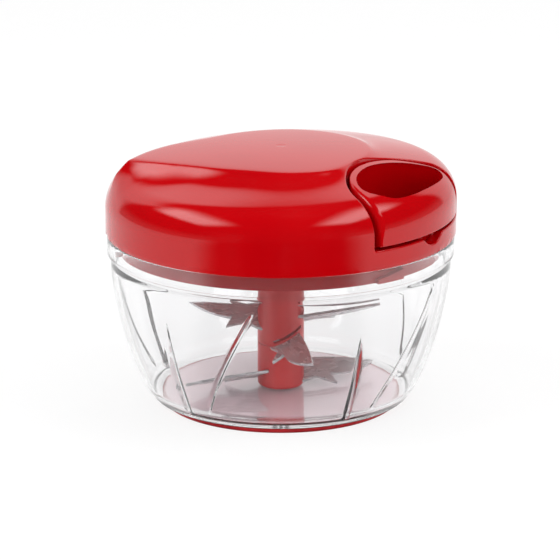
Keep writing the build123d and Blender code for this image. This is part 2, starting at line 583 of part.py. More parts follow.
def main():
    outer = lid_form(0, LID_FOOT_HEIGHT)

    save(make_bowl(), "bowl")
    save(make_pad(), "base_pad")
    save(make_pin(), "pivot_pin")

    lower, upper, blades = make_rotor()
    save(lower, "rotor_stem_lower")
    save(upper, "rotor_stem_upper")
    for blade, name in zip(blades, ("blade_lower", "blade_middle", "blade_upper")):
        save(blade, name)

    save(make_cover(outer), "lid_cover")
    save(make_base(), "lid_base")
    seal_low = RIM_TOP + FLAT_GAP
    save(ring(SEAL_RADIUS, SEAL_RADIUS - SEAL_WIDTH, seal_low, seal_low + SEAL_HEIGHT), "lid_seal")
    save(make_screws(POST_CIRCLE, POST_HEADINGS, BASE_PLATE_HEIGHT, SCREW_LENGTH), "lid_screws")

    bush = disc(BUSH_RADIUS, BASE_PLATE_HEIGHT, REEL_BOSS_HEIGHT)
    bush += disc(BUSH_FLANGE_RADIUS, REEL_BOSS_HEIGHT, REEL_BOSS_HEIGHT + BUSH_FLANGE)
    save(bush - disc(SHAFT_RADIUS + RUNNING_GAP, DOG_FOOT_HEIGHT, LID_TOP_HEIGHT), "lower_bush")
    upper_bush_low = SHAFT_TOP_HEIGHT - UPPER_BUSH_LENGTH
    save(ring(BUSH_RADIUS, SHAFT_RADIUS + RUNNING_GAP, upper_bush_low, SHAFT_TOP_HEIGHT), "upper_bush")

    grommet = Cylinder(GROMMET_RADIUS, POCKET_WALL, align=(Align.CENTER, Align.CENTER, Align.MIN))
    grommet += Cylinder(GROMMET_FLANGE_RADIUS, GROMMET_FLANGE, align=(Align.CENTER, Align.CENTER, Align.MAX))
    grommet -= Cylinder(GROMMET_BORE, POCKET_WALL + 2 * OVERRUN)
    save(Pos(GROMMET_FACE, 0, CORD_HEIGHT) * Rot(0, 90, 0) * grommet, "cord_grommet")

    housing_low = HOUSING_LOW_HEIGHT
    housing = disc(HOUSING_RADIUS, housing_low, HOUSING_TOP_HEIGHT)
    housing -= disc(HOUSING_RADIUS - HOUSING_WALL, housing_low - OVERRUN, HOUSING_TOP_HEIGHT - HOUSING_TOP)
    for heading in EAR_HEADINGS:
        housing += disc(EAR_RADIUS, HOUSING_TOP_HEIGHT - HOUSING_TOP, HOUSING_TOP_HEIGHT,
                        *polar(EAR_CIRCLE, heading))
    housing -= disc(CEILING_BOSS_RADIUS, housing_low, HOUSING_TOP_HEIGHT + OVERRUN)
    for heading in EAR_HEADINGS:
        housing -= disc(SCREW_RADIUS, housing_low, HOUSING_TOP_HEIGHT + OVERRUN, *polar(EAR_CIRCLE, heading))
    save(housing, "spring_housing")
    hub_clear = REEL_HUB_RADIUS + CURVED_GAP
    save(ring(HOUSING_RADIUS, hub_clear, housing_low - SPRING_COVER, housing_low), "spring_cover")
    save(make_spring(housing_low + SPRING_SIDE_GAP, HOUSING_TOP_HEIGHT - HOUSING_TOP - SPRING_SIDE_GAP),
         "recoil_spring")
    save(make_screws(EAR_CIRCLE, EAR_HEADINGS, HOUSING_TOP_HEIGHT - HOUSING_TOP, EAR_SCREW_LENGTH),
         "housing_screws")
    save(make_cord_run(), "cord_run")

    save(disc(SHAFT_RADIUS, DOG_FOOT_HEIGHT, SHAFT_TOP_HEIGHT), "drive_shaft")
    drum = disc(REEL_FLANGE_RADIUS, REEL_FOOT_HEIGHT, GROOVE_FOOT)
    drum += ring(REEL_CORE_RADIUS, REEL_CORE_RADIUS - REEL_RIM_WALL, GROOVE_FOOT, GROOVE_TOP)
    drum += disc(REEL_HUB_RADIUS, REEL_FOOT_HEIGHT, SHAFT_TOP_HEIGHT - UPPER_BUSH_LENGTH - FLAT_GAP)
    save(drum - disc(SHAFT_RADIUS, DOG_FOOT_HEIGHT, LID_TOP_HEIGHT), "reel_drum")
    save(ring(REEL_FLANGE_RADIUS, REEL_HUB_RADIUS, GROOVE_TOP, GROOVE_TOP + REEL_FLANGE), "reel_flange")
    lap_inside = CORD_LAP_RADIUS - CORD_RADIUS - FLAT_GAP
    save(ring(lap_inside, REEL_CORE_RADIUS, GROOVE_FOOT, GROOVE_TOP), "cord_winding")
    washer_top = REEL_FOOT_HEIGHT
    save(ring(WASHER_RADIUS, SHAFT_RADIUS, washer_top - WASHER_THICKNESS, washer_top), "thrust_washer")
    dog = disc(DOG_CORE_RADIUS, DOG_FOOT_HEIGHT, DOG_TOP_HEIGHT)
    claw = sector(DOG_RADIUS, (SHAFT_RADIUS + DOG_CORE_RADIUS) / 2, DOG_FOOT_HEIGHT,
                  DOG_TOP_HEIGHT, -DOG_SPAN / 2, DOG_SPAN)
    dog += around(claw, DOG_COUNT)
    save(dog - disc(SHAFT_RADIUS, DOG_FOOT_HEIGHT - OVERRUN, LID_TOP_HEIGHT), "drive_dog")

    save(make_handle(), "pull_handle")
    x_recess = HANDLE_BACK + BLOCK_LENGTH - KNOT_RECESS_DEPTH
    tail_start = HANDLE_BACK - FLAT_GAP
    tail = Cylinder(CORD_RADIUS, x_recess + KNOT_RADIUS - tail_start,
                    align=(Align.CENTER, Align.CENTER, Align.MIN))
    tail = Pos(tail_start, 0, CORD_HEIGHT) * Rot(0, 90, 0) * tail
    knot = Pos(x_recess + KNOT_RADIUS, 0, CORD_HEIGHT) * Sphere(KNOT_RADIUS)
    save(tail - knot, "cord_tail")
    save(knot, "cord_knot")
    plug = Cylinder(KNOT_RECESS_RADIUS, PLUG_LENGTH, align=(Align.CENTER, Align.CENTER, Align.MAX))
    save(Pos(HANDLE_BACK + BLOCK_LENGTH, 0, CORD_HEIGHT) * Rot(0, 90, 0) * plug, "cord_plug")


main()
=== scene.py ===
"""Hand food chopper, dressed: clear bowl, steel blades on a red stem, glossy red lid with a pull handle.

Lengths are millimetres in the values below and metres in the meshes.
"""

import bisect
import json
from math import acos, asin, atan, atan2, copysign, cos, degrees, dist, exp, hypot, pi, radians, sin, sqrt, tan

import bpy
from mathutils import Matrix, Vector, geometry, kdtree


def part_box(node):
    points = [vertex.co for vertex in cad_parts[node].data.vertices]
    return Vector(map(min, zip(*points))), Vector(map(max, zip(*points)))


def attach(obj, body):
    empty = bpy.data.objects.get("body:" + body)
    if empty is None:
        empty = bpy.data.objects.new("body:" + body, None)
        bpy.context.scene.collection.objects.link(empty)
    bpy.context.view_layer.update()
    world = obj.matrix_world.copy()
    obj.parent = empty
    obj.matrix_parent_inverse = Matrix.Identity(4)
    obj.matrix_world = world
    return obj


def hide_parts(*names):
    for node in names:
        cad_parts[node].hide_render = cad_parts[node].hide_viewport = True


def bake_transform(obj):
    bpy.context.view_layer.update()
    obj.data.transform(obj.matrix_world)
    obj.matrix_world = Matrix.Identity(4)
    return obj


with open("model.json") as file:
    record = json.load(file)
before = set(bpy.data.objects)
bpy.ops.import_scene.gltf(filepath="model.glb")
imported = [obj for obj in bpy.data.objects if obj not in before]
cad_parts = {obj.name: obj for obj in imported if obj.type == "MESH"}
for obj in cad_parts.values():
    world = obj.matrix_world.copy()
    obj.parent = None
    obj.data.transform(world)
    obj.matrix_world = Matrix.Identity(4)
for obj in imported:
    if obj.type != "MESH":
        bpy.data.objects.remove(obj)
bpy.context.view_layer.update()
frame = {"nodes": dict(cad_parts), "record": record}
MM = 0.001

# Camera and studio
CAMERA_DISTANCE = 1200.0
CAMERA_HEIGHT = 394.0
CAMERA_HEADING = -58.5
CAMERA_PITCH = 16.3
CAMERA_LENS = 226.1
SENSOR_WIDTH = 36.0
AXIS_PIXEL = 280.8
FRAME_PIXELS = 560.0
FLOOR_HALF = 6000.0
FLOOR_WHITE = 0.8
FRONT_EDGE = (0.57, 0.82)
BACKDROP_EDGE = (0.62, 0.73)
BACKDROP_SIDE_EDGE = (-0.68, -0.58)
SIDE_EDGE = (0.0, 0.3)
SIDE_STRENGTH = 0.3
BACKDROP_STRENGTH = 0.95
CEILING_STRENGTH = 0.03
LEFT_PANEL = (0.0, -0.84)
RIGHT_PANEL = (0.25, 0.7)
PANEL_LENGTH_EDGE = (0.3, 0.75)
PANEL_WIDTH_EDGE = (0.1, 0.42)
PANEL_STRENGTH = 4.2
LEAST_RISE = 0.02
FILL_LOSS = 0.5
CLIP_RANGE = (0.05, 40.0)
LIGHT_BOUNCES = 24
LAMP_AIM = (0, 0, 45)
# Lamps: heading from the camera's, elevation, distance, length, width and power
LAMPS = {"overhead": (150, 74, 1500, 1300, 1300, 8),
         "left_panel": (-74, 52, 1300, 700, 400, 6),
         "right_panel": (74, 52, 1300, 700, 400, 5),
         "front_left": (-38, 10, 1600, 900, 900, 6),
         "front_right": (38, 10, 1600, 900, 900, 6)}

# Depth of the bumps in the finishes, in metres
RIPPLE_DEPTH = 0.00012
GRAIN_DEPTH = 0.00006
STREAK_DEPTH = 0.00004
YARN_DEPTH = 0.00015
WAVE_DEPTH = 0.0004

# Pad, with a pale field painted on its top under the clear floor: painted reflection, standing in for the white
# that the clear floor lays over the red pad
PAD_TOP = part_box("base_pad")[1].z / MM
PAD_PAINTED_REFLECTION_RADIUS = 41.0
PAD_PAINTED_REFLECTION_SOFT = 1.5
PAD_PAINTED_REFLECTION_DEPTHS = (0.3, 0.2)

# Bowl
UNDER_GAP = 0.12
UNDER_RING = 20.0
BAND_RADIUS = 60.4
WALL_RISE = 52.3
BAND_TOP = PAD_TOP + WALL_RISE
BOWL_WALL = 2.2
FLOOR_TOP = 4.5
FOOT_ROUND = 1.6
FOOT_FLAT_END = 2.4
FOOT_CURVE = ((1.1, 0.0), (0.35, 0.3))
FLOOR_ROUND = 3.2
FLOOR_RING = 24.0
FLOOR_INSET = 1.0
BAND_STEP = ((0.0, -0.1), (0.12, 0.02))
BAND_LIP_ROUND = 0.35
BAND_LIP_RISE = 0.4
RIM_RADIUS = 61.5
RIM_WALL = 2.7
RIM_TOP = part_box("bowl")[1].z / MM
RIM_ROUND = 0.5
RIM_LINES = (2.4, 4.2)
RIM_CURVE = ((0.0, 0.6), (0.05, 1.2), (0.4, 2.2))
RIM_CURVE_DROP = 3.6
BOSS_RADIUS = 4.0
BOSS_HEIGHT = 1.4
BOSS_ROUND = 0.4
BOSS_RINGS = (4.0, 1.4, 0.3, 0.0)
BOWL_WALL_SHARES = ((0.7425, 0.0), (0.807, 0.087), (0.853, 0.202), (0.9074, 0.375),
                    (0.9597, 0.606), (0.9917, 0.817), (1.0, 1.0))

# Ribs and slanted beads inside the bowl
RIB_COUNT = 5
RIB_FIRST_HEADING = 42.5
RIB_TOP_HEIGHT = 42.0
RIB_FOOT_RADIUS = 39.6
RIB_FOOT_INSET = 1.5
RIB_HALF_WIDTH = 1.5
RIB_PROUD = 1.2
RIB_FULL_RISE = 4.0
RIB_TAPER = 3.0
RIB_WIDTH_SHARES = (0.45, 0.55)
BEAD_TOP_HEADING = 4.3
BEAD_FOOT_HEADING = -17.7
BEAD_TOP_HEIGHT = 48.0
BEAD_FOOT_HEIGHT = 8.0
BEAD_HALF_WIDTH = 0.95
BEAD_PROUD = 0.6
BEAD_FOOT_FADE = (1.0, 2.0)
BEAD_TOP_FADE = 3.0
FEATURE_SPREAD = 1.35
FEATURE_OFFSETS = (-2.4, -1.7, -1.3, -1.05, -0.8, -0.5, -0.25, 0.0, 0.25, 0.5, 0.8, 1.05, 1.3, 1.7, 2.4)

# Lid skin: wall, wide shoulder and tilted crown, with the leaf-shaped plateau
LID_RADIUS = 62.0
LID_FOOT = 61.7
LID_FOOT_ROUND = 0.35
LID_WALL = 2.2
DOME_HEIGHT = 91.2
DOME_CROWN_RADIUS = 214.0
DOME_TILT = 2.06
DOME_TILT_HEADING = 45.3
SHOULDER_RADIUS = 12.0
CROWN_STEPS = 30
LID_TOP = 92.4
PLATEAU_CROWN_RADIUS = 480.0
PLATEAU_TIP_HEADING = 219.5
PLATEAU_SHARES = ((0, 0.866), (13, 0.724), (27, 0.622), (45, 0.56), (64, 0.531), (90, 0.552),
                  (110, 0.556), (135, 0.514), (175, 0.507), (215, 0.487), (245, 0.466), (280, 0.4435),
                  (307, 0.462), (320, 0.494), (330, 0.56), (340, 0.655), (352, 0.778), (360, 0.866))
CREASE_SOFT = 0.7
CREASE_OUTS = (-2.2, -1.3, -0.75, -0.35, 0.0, 0.35, 0.75, 1.2, 1.7, 2.3, 3.0, 3.8, 4.7, 5.7, 6.8, 8.0, 9.4)
CREASE_LIMIT = 60.5
PLATEAU_FADE = 2.7
TIP_FADE = 5.0
TIP_TURNS = (4.0, 34.0)
TIP_LINE_INSET = 3.0
TIP_LINE_STEP = 0.4
WALL_TAPER = (58.0, 62.0)
GATE_EDGES = (1.6, 2.0)
GATE_DEPTH = 0.05
GATE_RINGS = (0.6, 1.2, 1.6, 1.8, 2.0, 2.2, 2.8, 3.6)

# Spacing of the lid's mesh, wider over the crown than over the shoulder and the wall
EDGE_STEP = 0.5
BACK_STEPS = 240
CLOSE_FROM = 46.0
ROW_STEPS = (1.7, 1.0)
PLACE_STEPS = (1.9, 1.25)
LINE_GAP = 0.3
GRID_GAP = 0.75
FOOT_GAP = 0.4
RIM_GAP = 0.1
FLOOR_BAND = 0.3
SCALLOP_BAND = 0.05
STEEP_SHARE = 0.35
CORNER_WEIGHT = 2.0

# Handle, its pocket and the finger scallop
POCKET_CENTRE = 60.3
POCKET_RADIUS = 29.1
POCKET_WALL = 1.8
POCKET_FLOOR = 68.5
HANDLE_CENTRE = 58.4
HANDLE_RADIUS = 26.2
HANDLE_FOOT = 69.6
HOLE_SHARES = ((0.555, 0), (0.563, -0.081), (0.592, -0.177), (0.642, -0.252), (0.697, -0.298), (0.752, -0.312),
               (0.806, -0.299), (0.852, -0.273), (0.885, -0.238), (0.908, -0.177), (0.925, -0.081), (0.929, 0),
               (0.926, 0.097), (0.913, 0.202), (0.89, 0.296), (0.865, 0.346), (0.826, 0.366), (0.777, 0.352),
               (0.719, 0.316), (0.661, 0.264), (0.613, 0.198), (0.577, 0.12), (0.559, 0.045))
SCALLOP_RADIUS = 8.0
SCALLOP_HEIGHT = 73.5
SCALLOP_END = 57.5
RIM_EDGE = 0.45
RIM_RINGS = (0.5, 1.1)
SIDE_ROUND = 2.0
SIDE_SPAN = (13.0, 1.0)
SIDE_RISE = (1.2, 8.0)

# Cord, its eyelet in the pocket's wall and the block in the handle that it ends in
CORD_HEIGHT = 74.8
CORD_RADIUS = 0.9
CORD_END = 5.2
CORD_STEPS = 48
EYELET_RADIUS = 3.4
EYELET_BORE = 1.2
EYELET_TAIL = 0.6
EYELET_FLANGE = 0.2
EYELET_ROUND = 0.4
EYELET_MOUTH = 0.1
EYELET_MOUTH_ROUND = 0.5
BLOCK_SINK = 1.0
BLOCK_FRONT = 40.05
BLOCK_HALF_WIDTH = 6.0
BLOCK_TOP = 78.5
BLOCK_ROUND = 1.2

# Ring at the foot of the stem
STEM_RADIUS = 8.3
RING_TOP = 9.0
RING_LOW = 4.85
RING_ROUND = 1.6
RING_BORE = 4.7
RING_EDGE = 0.3

# Blades: turn in degrees, drop at the axis, further drop at the tip, and whether the form is mirrored
BLADE_REACH = 36.4
BLADE_SETS = {"blade_lower": (-2.0, 0.3, 2.6, False),
              "blade_middle": (-8.0, 2.5, 0.0, False),
              "blade_upper": (63.0, 4.4, -0.4, True)}


# Shader helpers

class Value:
    """A socket whose arithmetic adds Math nodes."""

    def __init__(self, finish, socket):
        self.finish = finish
        self.socket = socket

    def math(self, operation, *others):
        return self.finish.add("Math", {"operation": operation}, {0: self, **dict(enumerate(others, 1))})

    def __add__(self, other):
        return self.math("ADD", other)

    def __mul__(self, other):
        return self.math("MULTIPLY", other)

    def __sub__(self, other):
        return self.math("SUBTRACT", other)

    def __rsub__(self, other):
        return self.finish.add("Math", {"operation": "SUBTRACT"}, {0: other, 1: self})


class Finish:
    """The node tree of a new material or of the world, with one method that adds any node."""

    def __init__(self, name, world=None):
        self.owner = world or bpy.data.materials.new(name)
        self.ending = "OutputWorld" if world else "OutputMaterial"
        self.owner.use_nodes = True
        self.tree = self.owner.node_tree
        self.tree.nodes.clear()

    def add(self, kind, settings, sockets, out=0):
        """A shader node of a kind: its settings first, then the values or links of its sockets."""
        node = self.tree.nodes.new("ShaderNode" + kind)
        for name, value in settings.items():
            setattr(node, name, value)
        for name, value in sockets.items():
            socket = node.inputs[name]
            if isinstance(value, Value):
                self.tree.links.new(value.socket, socket)
            elif socket.type == "RGBA":
                socket.default_value = (*value, 1.0)
            else:
                socket.default_value = value
        return Value(self, node.outputs[out]) if node.outputs else None

    def place(self):
        """Position on the piece, in metres."""
        return self.add("TexCoord", {}, {}, "Object")

    def ray(self, kind):
        """1 for rays of a kind, 0 for others."""
        return self.add("LightPath", {}, {}, kind)

    def vector(self, operation, *vectors, out=0):
        """Result of an operation on vectors."""
        return self.add("VectorMath", {"operation": operation}, dict(enumerate(vectors)), out)

    def noise(self, scale, detail, stretch=(1, 1, 1)):
        """Grain with scale cells in a metre, pulled out along axes."""
        where = self.add("Mapping", {}, {"Vector": self.place(), "Scale": stretch})
        return self.add("TexNoise", {}, {"Vector": where, "Scale": scale, "Detail": detail})

    def spread(self, value, low, high, to_low=0.0, to_high=1.0):
        """Value mapped smoothly from one range to another."""
        return self.add("MapRange", {"interpolation_type": "SMOOTHSTEP"},
                        {"Value": value, "From Min": low, "From Max": high, "To Min": to_low, "To Max": to_high})

    def between(self, share, first, second):
        """Colour between two colours."""
        return self.add("Mix", {"data_type": "RGBA"}, {"Factor": share, 6: first, 7: second}, out=2)

    def bump(self, height, strength, distance):
        """Surface direction over bumps that reach a distance in metres at full strength."""
        return self.add("Bump", {}, {"Height": height, "Strength": strength, "Distance": distance})

    def principled(self, **sockets):
        return self.add("BsdfPrincipled", {}, {k.replace("_", " "): v for k, v in sockets.items()})

    def surface(self, shader):
        self.add(self.ending, {}, {"Surface": shader})
        return self.owner


def screen(red, green, blue):
    """Linear colour from one written in a screen's steps of 0 to 255."""
    return tuple(((c / 255 + 0.055) / 1.055) ** 2.4 if c > 10 else c / 255 / 12.92 for c in (red, green, blue))


def moulded(name, colour, deep, roughness):
    """Moulded plastic: faint flow shades, a slight ripple in the skin and uneven gloss."""
    look = Finish(name)
    flow = look.spread(look.noise(26.0, 3.0), 0.3, 0.7)
    ripple = look.noise(420.0, 1.0)
    wipe = look.spread(look.noise(90.0, 4.0, (1, 1, 0.35)), 0.4, 0.75, roughness, roughness + 0.05)
    return look.surface(look.principled(
        Base_Color=look.between(flow, deep, colour), Roughness=wipe, IOR=1.5,
        Normal=look.bump(ripple, 0.06, RIPPLE_DEPTH)))


def rubber(name, colour, deep, roughness, painted_reflection=None):
    """Soft moulded rubber with a matt grain, and for the pad a thin pale field painted under the bowl's clear
    floor, which is painted reflection of the clear floor over the red.
    """
    look = Finish(name)
    grain = look.noise(2600.0, 2.0)
    patch = look.spread(look.noise(60.0, 3.0), 0.35, 0.7)
    shade = look.between(patch, deep, colour)
    # Painted reflection: on the pad's top, within its radius, the colour turns pale, standing in for the white the
    # clear floor lays over the red.
    if painted_reflection:
        out = look.vector("LENGTH", look.vector("MULTIPLY", look.place(), (1, 1, 0)), out="Value")
        up = look.add("SeparateXYZ", {}, {0: look.place()}, out="Z")
        ring = look.spread(out, PAD_PAINTED_REFLECTION_RADIUS * MM, (PAD_PAINTED_REFLECTION_RADIUS + PAD_PAINTED_REFLECTION_SOFT) * MM)
        low = 1 - look.spread(up, *((PAD_TOP - depth) * MM for depth in PAD_PAINTED_REFLECTION_DEPTHS))
        shade = look.between(ring.math("MAXIMUM", low), painted_reflection, shade)
    return look.surface(look.principled(
        Base_Color=shade, Roughness=look.spread(patch, 0, 1, roughness, roughness + 0.08),
        IOR=1.45, Normal=look.bump(grain, 0.25, GRAIN_DEPTH)))


def steel(name, colour, roughness, stretch, metal=1.0):
    """Rolled or turned steel with fine marks along one way."""
    look = Finish(name)
    marks = look.noise(900.0, 3.0, stretch)
    cloud = look.spread(look.noise(110.0, 3.0), 0.35, 0.7)
    return look.surface(look.principled(
        Base_Color=look.between(cloud, tuple(0.9 * c for c in colour), colour), Metallic=metal,
        Roughness=look.spread(marks, 0.3, 0.7, roughness * 0.75, roughness * 1.3),
        Normal=look.bump(marks, 0.05, STREAK_DEPTH)))


def braided(name, colour, shade):
    """Braided cord: two crossing sets of yarns."""
    look = Finish(name)
    yarns = look.add("TexWave", {"wave_type": "BANDS", "bands_direction": "DIAGONAL"},
                     {"Vector": look.place(), "Scale": 620.0, "Distortion": 1.5, "Detail": 1.0})
    fuzz = look.noise(3800.0, 2.0)
    # The darker colour lies along the low parts of the yarns' bumps: painted shade between the yarns.
    return look.surface(look.principled(
        Base_Color=look.between(yarns, shade, colour), Roughness=0.82, Sheen_Weight=0.2,
        Normal=look.bump(yarns + fuzz * 0.3, 0.5, YARN_DEPTH)))


def clear(name):
    """Clear moulded plastic with a faint waviness. Lamps shine through it."""
    look = Finish(name)
    wave = look.noise(55.0, 1.0, (1, 1, 0.25))
    haze = look.spread(look.noise(160.0, 4.0, (1, 1, 0.4)), 0.45, 0.8, 0.0, 0.06)
    body = look.principled(Base_Color=(0.985, 0.985, 0.99), Roughness=haze, IOR=1.49, Transmission_Weight=0.98,
                           Normal=look.bump(wave, 0.12, WAVE_DEPTH))
    passing = look.add("BsdfTransparent", {}, {"Color": (0.93, 0.93, 0.935)})
    return look.surface(look.add("MixShader", {}, {0: look.ray("Is Shadow Ray"), 1: body, 2: passing}))


FINISHES = {name: make(name, *values) for name, make, *values in (
    ("clear_plastic", clear),
    # The pad's last colour is the pale painted reflection on its top under the clear floor.
    ("pad_rubber", rubber, screen(178, 22, 30), screen(150, 12, 20), 0.5, (0.92, 0.74, 0.78)),
    ("polished_steel", steel, (0.8, 0.8, 0.82), 0.2, (1, 1, 0.1)),
    ("blade_steel", steel, (0.66, 0.66, 0.67), 0.26, (0.15, 0.15, 1), 0.5),
    ("stem_plastic", moulded, screen(206, 30, 30), screen(196, 18, 20), 0.3),
    ("red_gloss", moulded, screen(176, 2, 8), screen(170, 0, 6), 0.06),
    ("seal_rubber", rubber, (0.8, 0.8, 0.8), (0.74, 0.74, 0.74), 0.45),
    ("bush_plastic", moulded, (0.82, 0.82, 0.8), (0.76, 0.76, 0.74), 0.4),
    ("inner_plastic", moulded, (0.78, 0.78, 0.77), (0.7, 0.7, 0.69), 0.42),
    ("spring_steel", steel, (0.36, 0.38, 0.44), 0.3, (1, 1, 0.1)),
    ("cord", braided, (0.84, 0.84, 0.82), (0.55, 0.55, 0.53)))}
for part in frame["record"]["subparts"]:
    shown = frame["nodes"][part["node"]]
    shown.data.materials.clear()
    shown.data.materials.append(FINISHES[part["material_slot"]])


# Mesh helpers

def polar(radius, heading, height):
    """Point at a distance from the axis, on a heading in degrees, at a height."""
    angle = radians(heading)
    return radius * cos(angle), radius * sin(angle), height


def heading_of(x, y):
    return degrees(atan2(y, x))


def smooth_line(points, steps):
    """Points along a smooth curve through the given ones, with steps between each pair."""
    first, last = (tuple(2 * a - b for a, b in zip(*pair)) for pair in (points[:2], points[:-3:-1]))
    full = [first, *points, last]
    line = []
    for before, start, stop, after in zip(full, full[1:], full[2:], full[3:]):
        for k in range(steps):
            t = k / steps
            line.append(tuple(
                0.5 * (2 * b + (c - a) * t + (2 * a - 5 * b + 4 * c - d) * t * t
                       + (3 * b - a - 3 * c + d) * t ** 3)
                for a, b, c, d in zip(before, start, stop, after)))
    return line + [points[-1]]


def arc(centre, radius, start, stop, steps):
    """Points of an arc from one angle to another, in degrees."""
    angles = [radians(start + (stop - start) * k / steps) for k in range(steps + 1)]
    return [(centre[0] + radius * cos(a), centre[1] + radius * sin(a)) for a in angles]


def ease(value, low, high):
    """0 below low, 1 above high, smooth between."""
    t = min(max((value - low) / (high - low), 0.0), 1.0)
    return t * t * (3 - 2 * t)


def add_object(name, data):
    """Object with a mesh, a lamp or a camera, linked to the scene."""
    made = bpy.data.objects.new(name, data)
    bpy.context.scene.collection.objects.link(made)
    return made


def make_piece(name, shape, slot_name, body, replaces=(), crease=40.0):
    """Piece from points in millimetres and faces. It may ride on a body and stand for solids of the frame."""
    points, faces = shape
    mesh = bpy.data.meshes.new(name)
    mesh.from_pydata([[c * MM for c in p] for p in points], [], faces)
    mesh.validate()
    for polygon in mesh.polygons:
        polygon.use_smooth = True
    piece = add_object(name, mesh)
    mesh.set_sharp_from_angle(angle=radians(crease))
    mesh.materials.append(FINISHES[slot_name])
    if body:
        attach(piece, body)
    if replaces:
        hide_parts(*replaces)
    return piece


def loft(rings, closed=True, flip=False):
    """Points and faces of a tube of rings with as many points each. A middle point closes each end."""
    count = len(rings[0])
    points = [p for ring in rings for p in ring]
    faces = []
    for row in range(len(rings) - 1):
        for k in range(count):
            a = row * count + k
            b = row * count + (k + 1) % count
            faces.append((a, b, b + count, a + count))
    for first, turn in ((0, -1), ((len(rings) - 1) * count, 1)) if closed else ():
        ring = points[first:first + count]
        points.append(tuple(sum(c) / count for c in zip(*ring)))
        middle = len(points) - 1
        faces += [(first + k, first + (k + 1) % count, middle)[::turn] for k in range(count)]
    return points, [f[::-1] for f in faces] if flip else faces


# Bowl

OUTSIDE_LINE = smooth_line([(BAND_RADIUS * r, PAD_TOP + WALL_RISE * h) for r, h in BOWL_WALL_SHARES], 5)


def wall_radius(height):
    """Outer radius of the wall at a height."""
    for (r_low, z_low), (r_high, z_high) in zip(OUTSIDE_LINE, OUTSIDE_LINE[1:]):
        if height <= z_high:
            return r_low + (r_high - r_low) * (height - z_low) / (z_high - z_low)
    return BAND_RADIUS


def bead_heading(height):
    share = min(max((height - BEAD_FOOT_HEIGHT) / (BEAD_TOP_HEIGHT - BEAD_FOOT_HEIGHT), 0.0), 1.0)
    return BEAD_FOOT_HEADING + (BEAD_TOP_HEADING - BEAD_FOOT_HEADING) * share


def bowl_headings(height, radius):
    """Headings of the mesh columns at a height: close together at each rib and bead, even between them."""
    step = 360 / RIB_COUNT
    columns = []
    offsets = [degrees(o / max(radius, RIB_FOOT_RADIUS)) for o in FEATURE_OFFSETS]
    for k in range(RIB_COUNT):
        bead = [bead_heading(height) + step * k + o for o in offsets]
        rib = [RIB_FIRST_HEADING + step * k + o for o in offsets]
        next_bead = bead_heading(height) + step * (k + 1) + offsets[0]
        for feature, until, count in ((bead, rib[0], 12), (rib, next_bead, 8)):
            columns += [(h, o, feature is rib) for h, o in zip(feature, FEATURE_OFFSETS)]
            gap = (until - feature[-1]) / (count + 1)
            columns += [(feature[-1] + gap * (j + 1), None, False) for j in range(count)]
    return columns


def across_shape(offset, half_width):
    """Height of a rib or bead across its width, from 1 on its crest to 0 at its sides."""
    return 1 - ease(abs(offset), 0.0, half_width * FEATURE_SPREAD)


def rib_proud(height, offset):
    full = 1 - ease(height, FLOOR_TOP + RIB_FULL_RISE, RIB_TOP_HEIGHT)
    least, more = RIB_WIDTH_SHARES
    return RIB_PROUD * min(RIB_TAPER * full, 1.0) * across_shape(offset, RIB_HALF_WIDTH * (least + more * full))


def bead_proud(height, offset):
    ends = ease(height, BEAD_FOOT_HEIGHT - BEAD_FOOT_FADE[0], BEAD_FOOT_HEIGHT + BEAD_FOOT_FADE[1])
    ends *= 1 - ease(height, BEAD_TOP_HEIGHT - BEAD_TOP_FADE, BEAD_TOP_HEIGHT)
    return BEAD_PROUD * ends * across_shape(offset, BEAD_HALF_WIDTH)


def bowl_outer_line():
    """Radius and height from under the bowl's boss, over the wall and its step, to the rim's top."""
    under = PAD_TOP + UNDER_GAP
    wall = [p for p in OUTSIDE_LINE if p[1] > under + FOOT_ROUND]
    line = [(BOSS_RADIUS, under), (UNDER_RING, under), (wall[0][0] - FOOT_FLAT_END * FOOT_ROUND, under)]
    curve = [(wall[0][0] - inwards * FOOT_ROUND, under + up * FOOT_ROUND) for inwards, up in FOOT_CURVE]
    line += smooth_line([*curve, wall[0]], 3)[:-1] + wall
    step = [(BAND_RADIUS + out, BAND_TOP + up) for out, up in BAND_STEP]
    line = [p for p in line if p[1] < step[0][1]] + step
    line += arc((RIM_RADIUS - BAND_LIP_ROUND, BAND_TOP + BAND_LIP_RISE), BAND_LIP_ROUND, -90, 0, 4)
    line += [(RIM_RADIUS, BAND_TOP + RIM_LINES[0]), (RIM_RADIUS, RIM_TOP - RIM_LINES[0])]
    return line + arc((RIM_RADIUS - RIM_ROUND, RIM_TOP - RIM_ROUND), RIM_ROUND, 0, 90, 5)


def bowl_inner_line():
    """Radius and height from the rim's top, down the inside and over the floor, to the top of the boss."""
    rim = RIM_RADIUS - RIM_WALL
    line = arc((rim + RIM_ROUND, RIM_TOP - RIM_ROUND), RIM_ROUND, 90, 180, 5)
    line += [(rim, RIM_TOP - down) for down in RIM_LINES]
    top = BAND_TOP - RIM_CURVE_DROP
    curve = [(rim - inwards, BAND_TOP - down) for inwards, down in RIM_CURVE]
    line += curve[:1] + smooth_line([*curve[1:], (wall_radius(top) - BOWL_WALL, top)], 2)
    fall = top - FLOOR_TOP - FLOOR_ROUND
    heights = [top - fall * (k / 40) for k in range(1, 41)]
    line += [(wall_radius(z) - BOWL_WALL, z) for z in heights]
    corner = wall_radius(FLOOR_TOP + FLOOR_ROUND) - BOWL_WALL
    line += arc((corner - FLOOR_ROUND, FLOOR_TOP + FLOOR_ROUND), FLOOR_ROUND, 0, -90, 8)[1:]
    radii = [corner - FLOOR_ROUND - FLOOR_INSET, RIB_FOOT_RADIUS - RIB_FOOT_INSET, FLOOR_RING]
    line += [(r, FLOOR_TOP) for r in radii + [BOSS_RADIUS + past for past in BOSS_RINGS]]
    return line + arc((BOSS_RADIUS - BOSS_ROUND, FLOOR_TOP + BOSS_HEIGHT - BOSS_ROUND), BOSS_ROUND, 0, 90, 3)


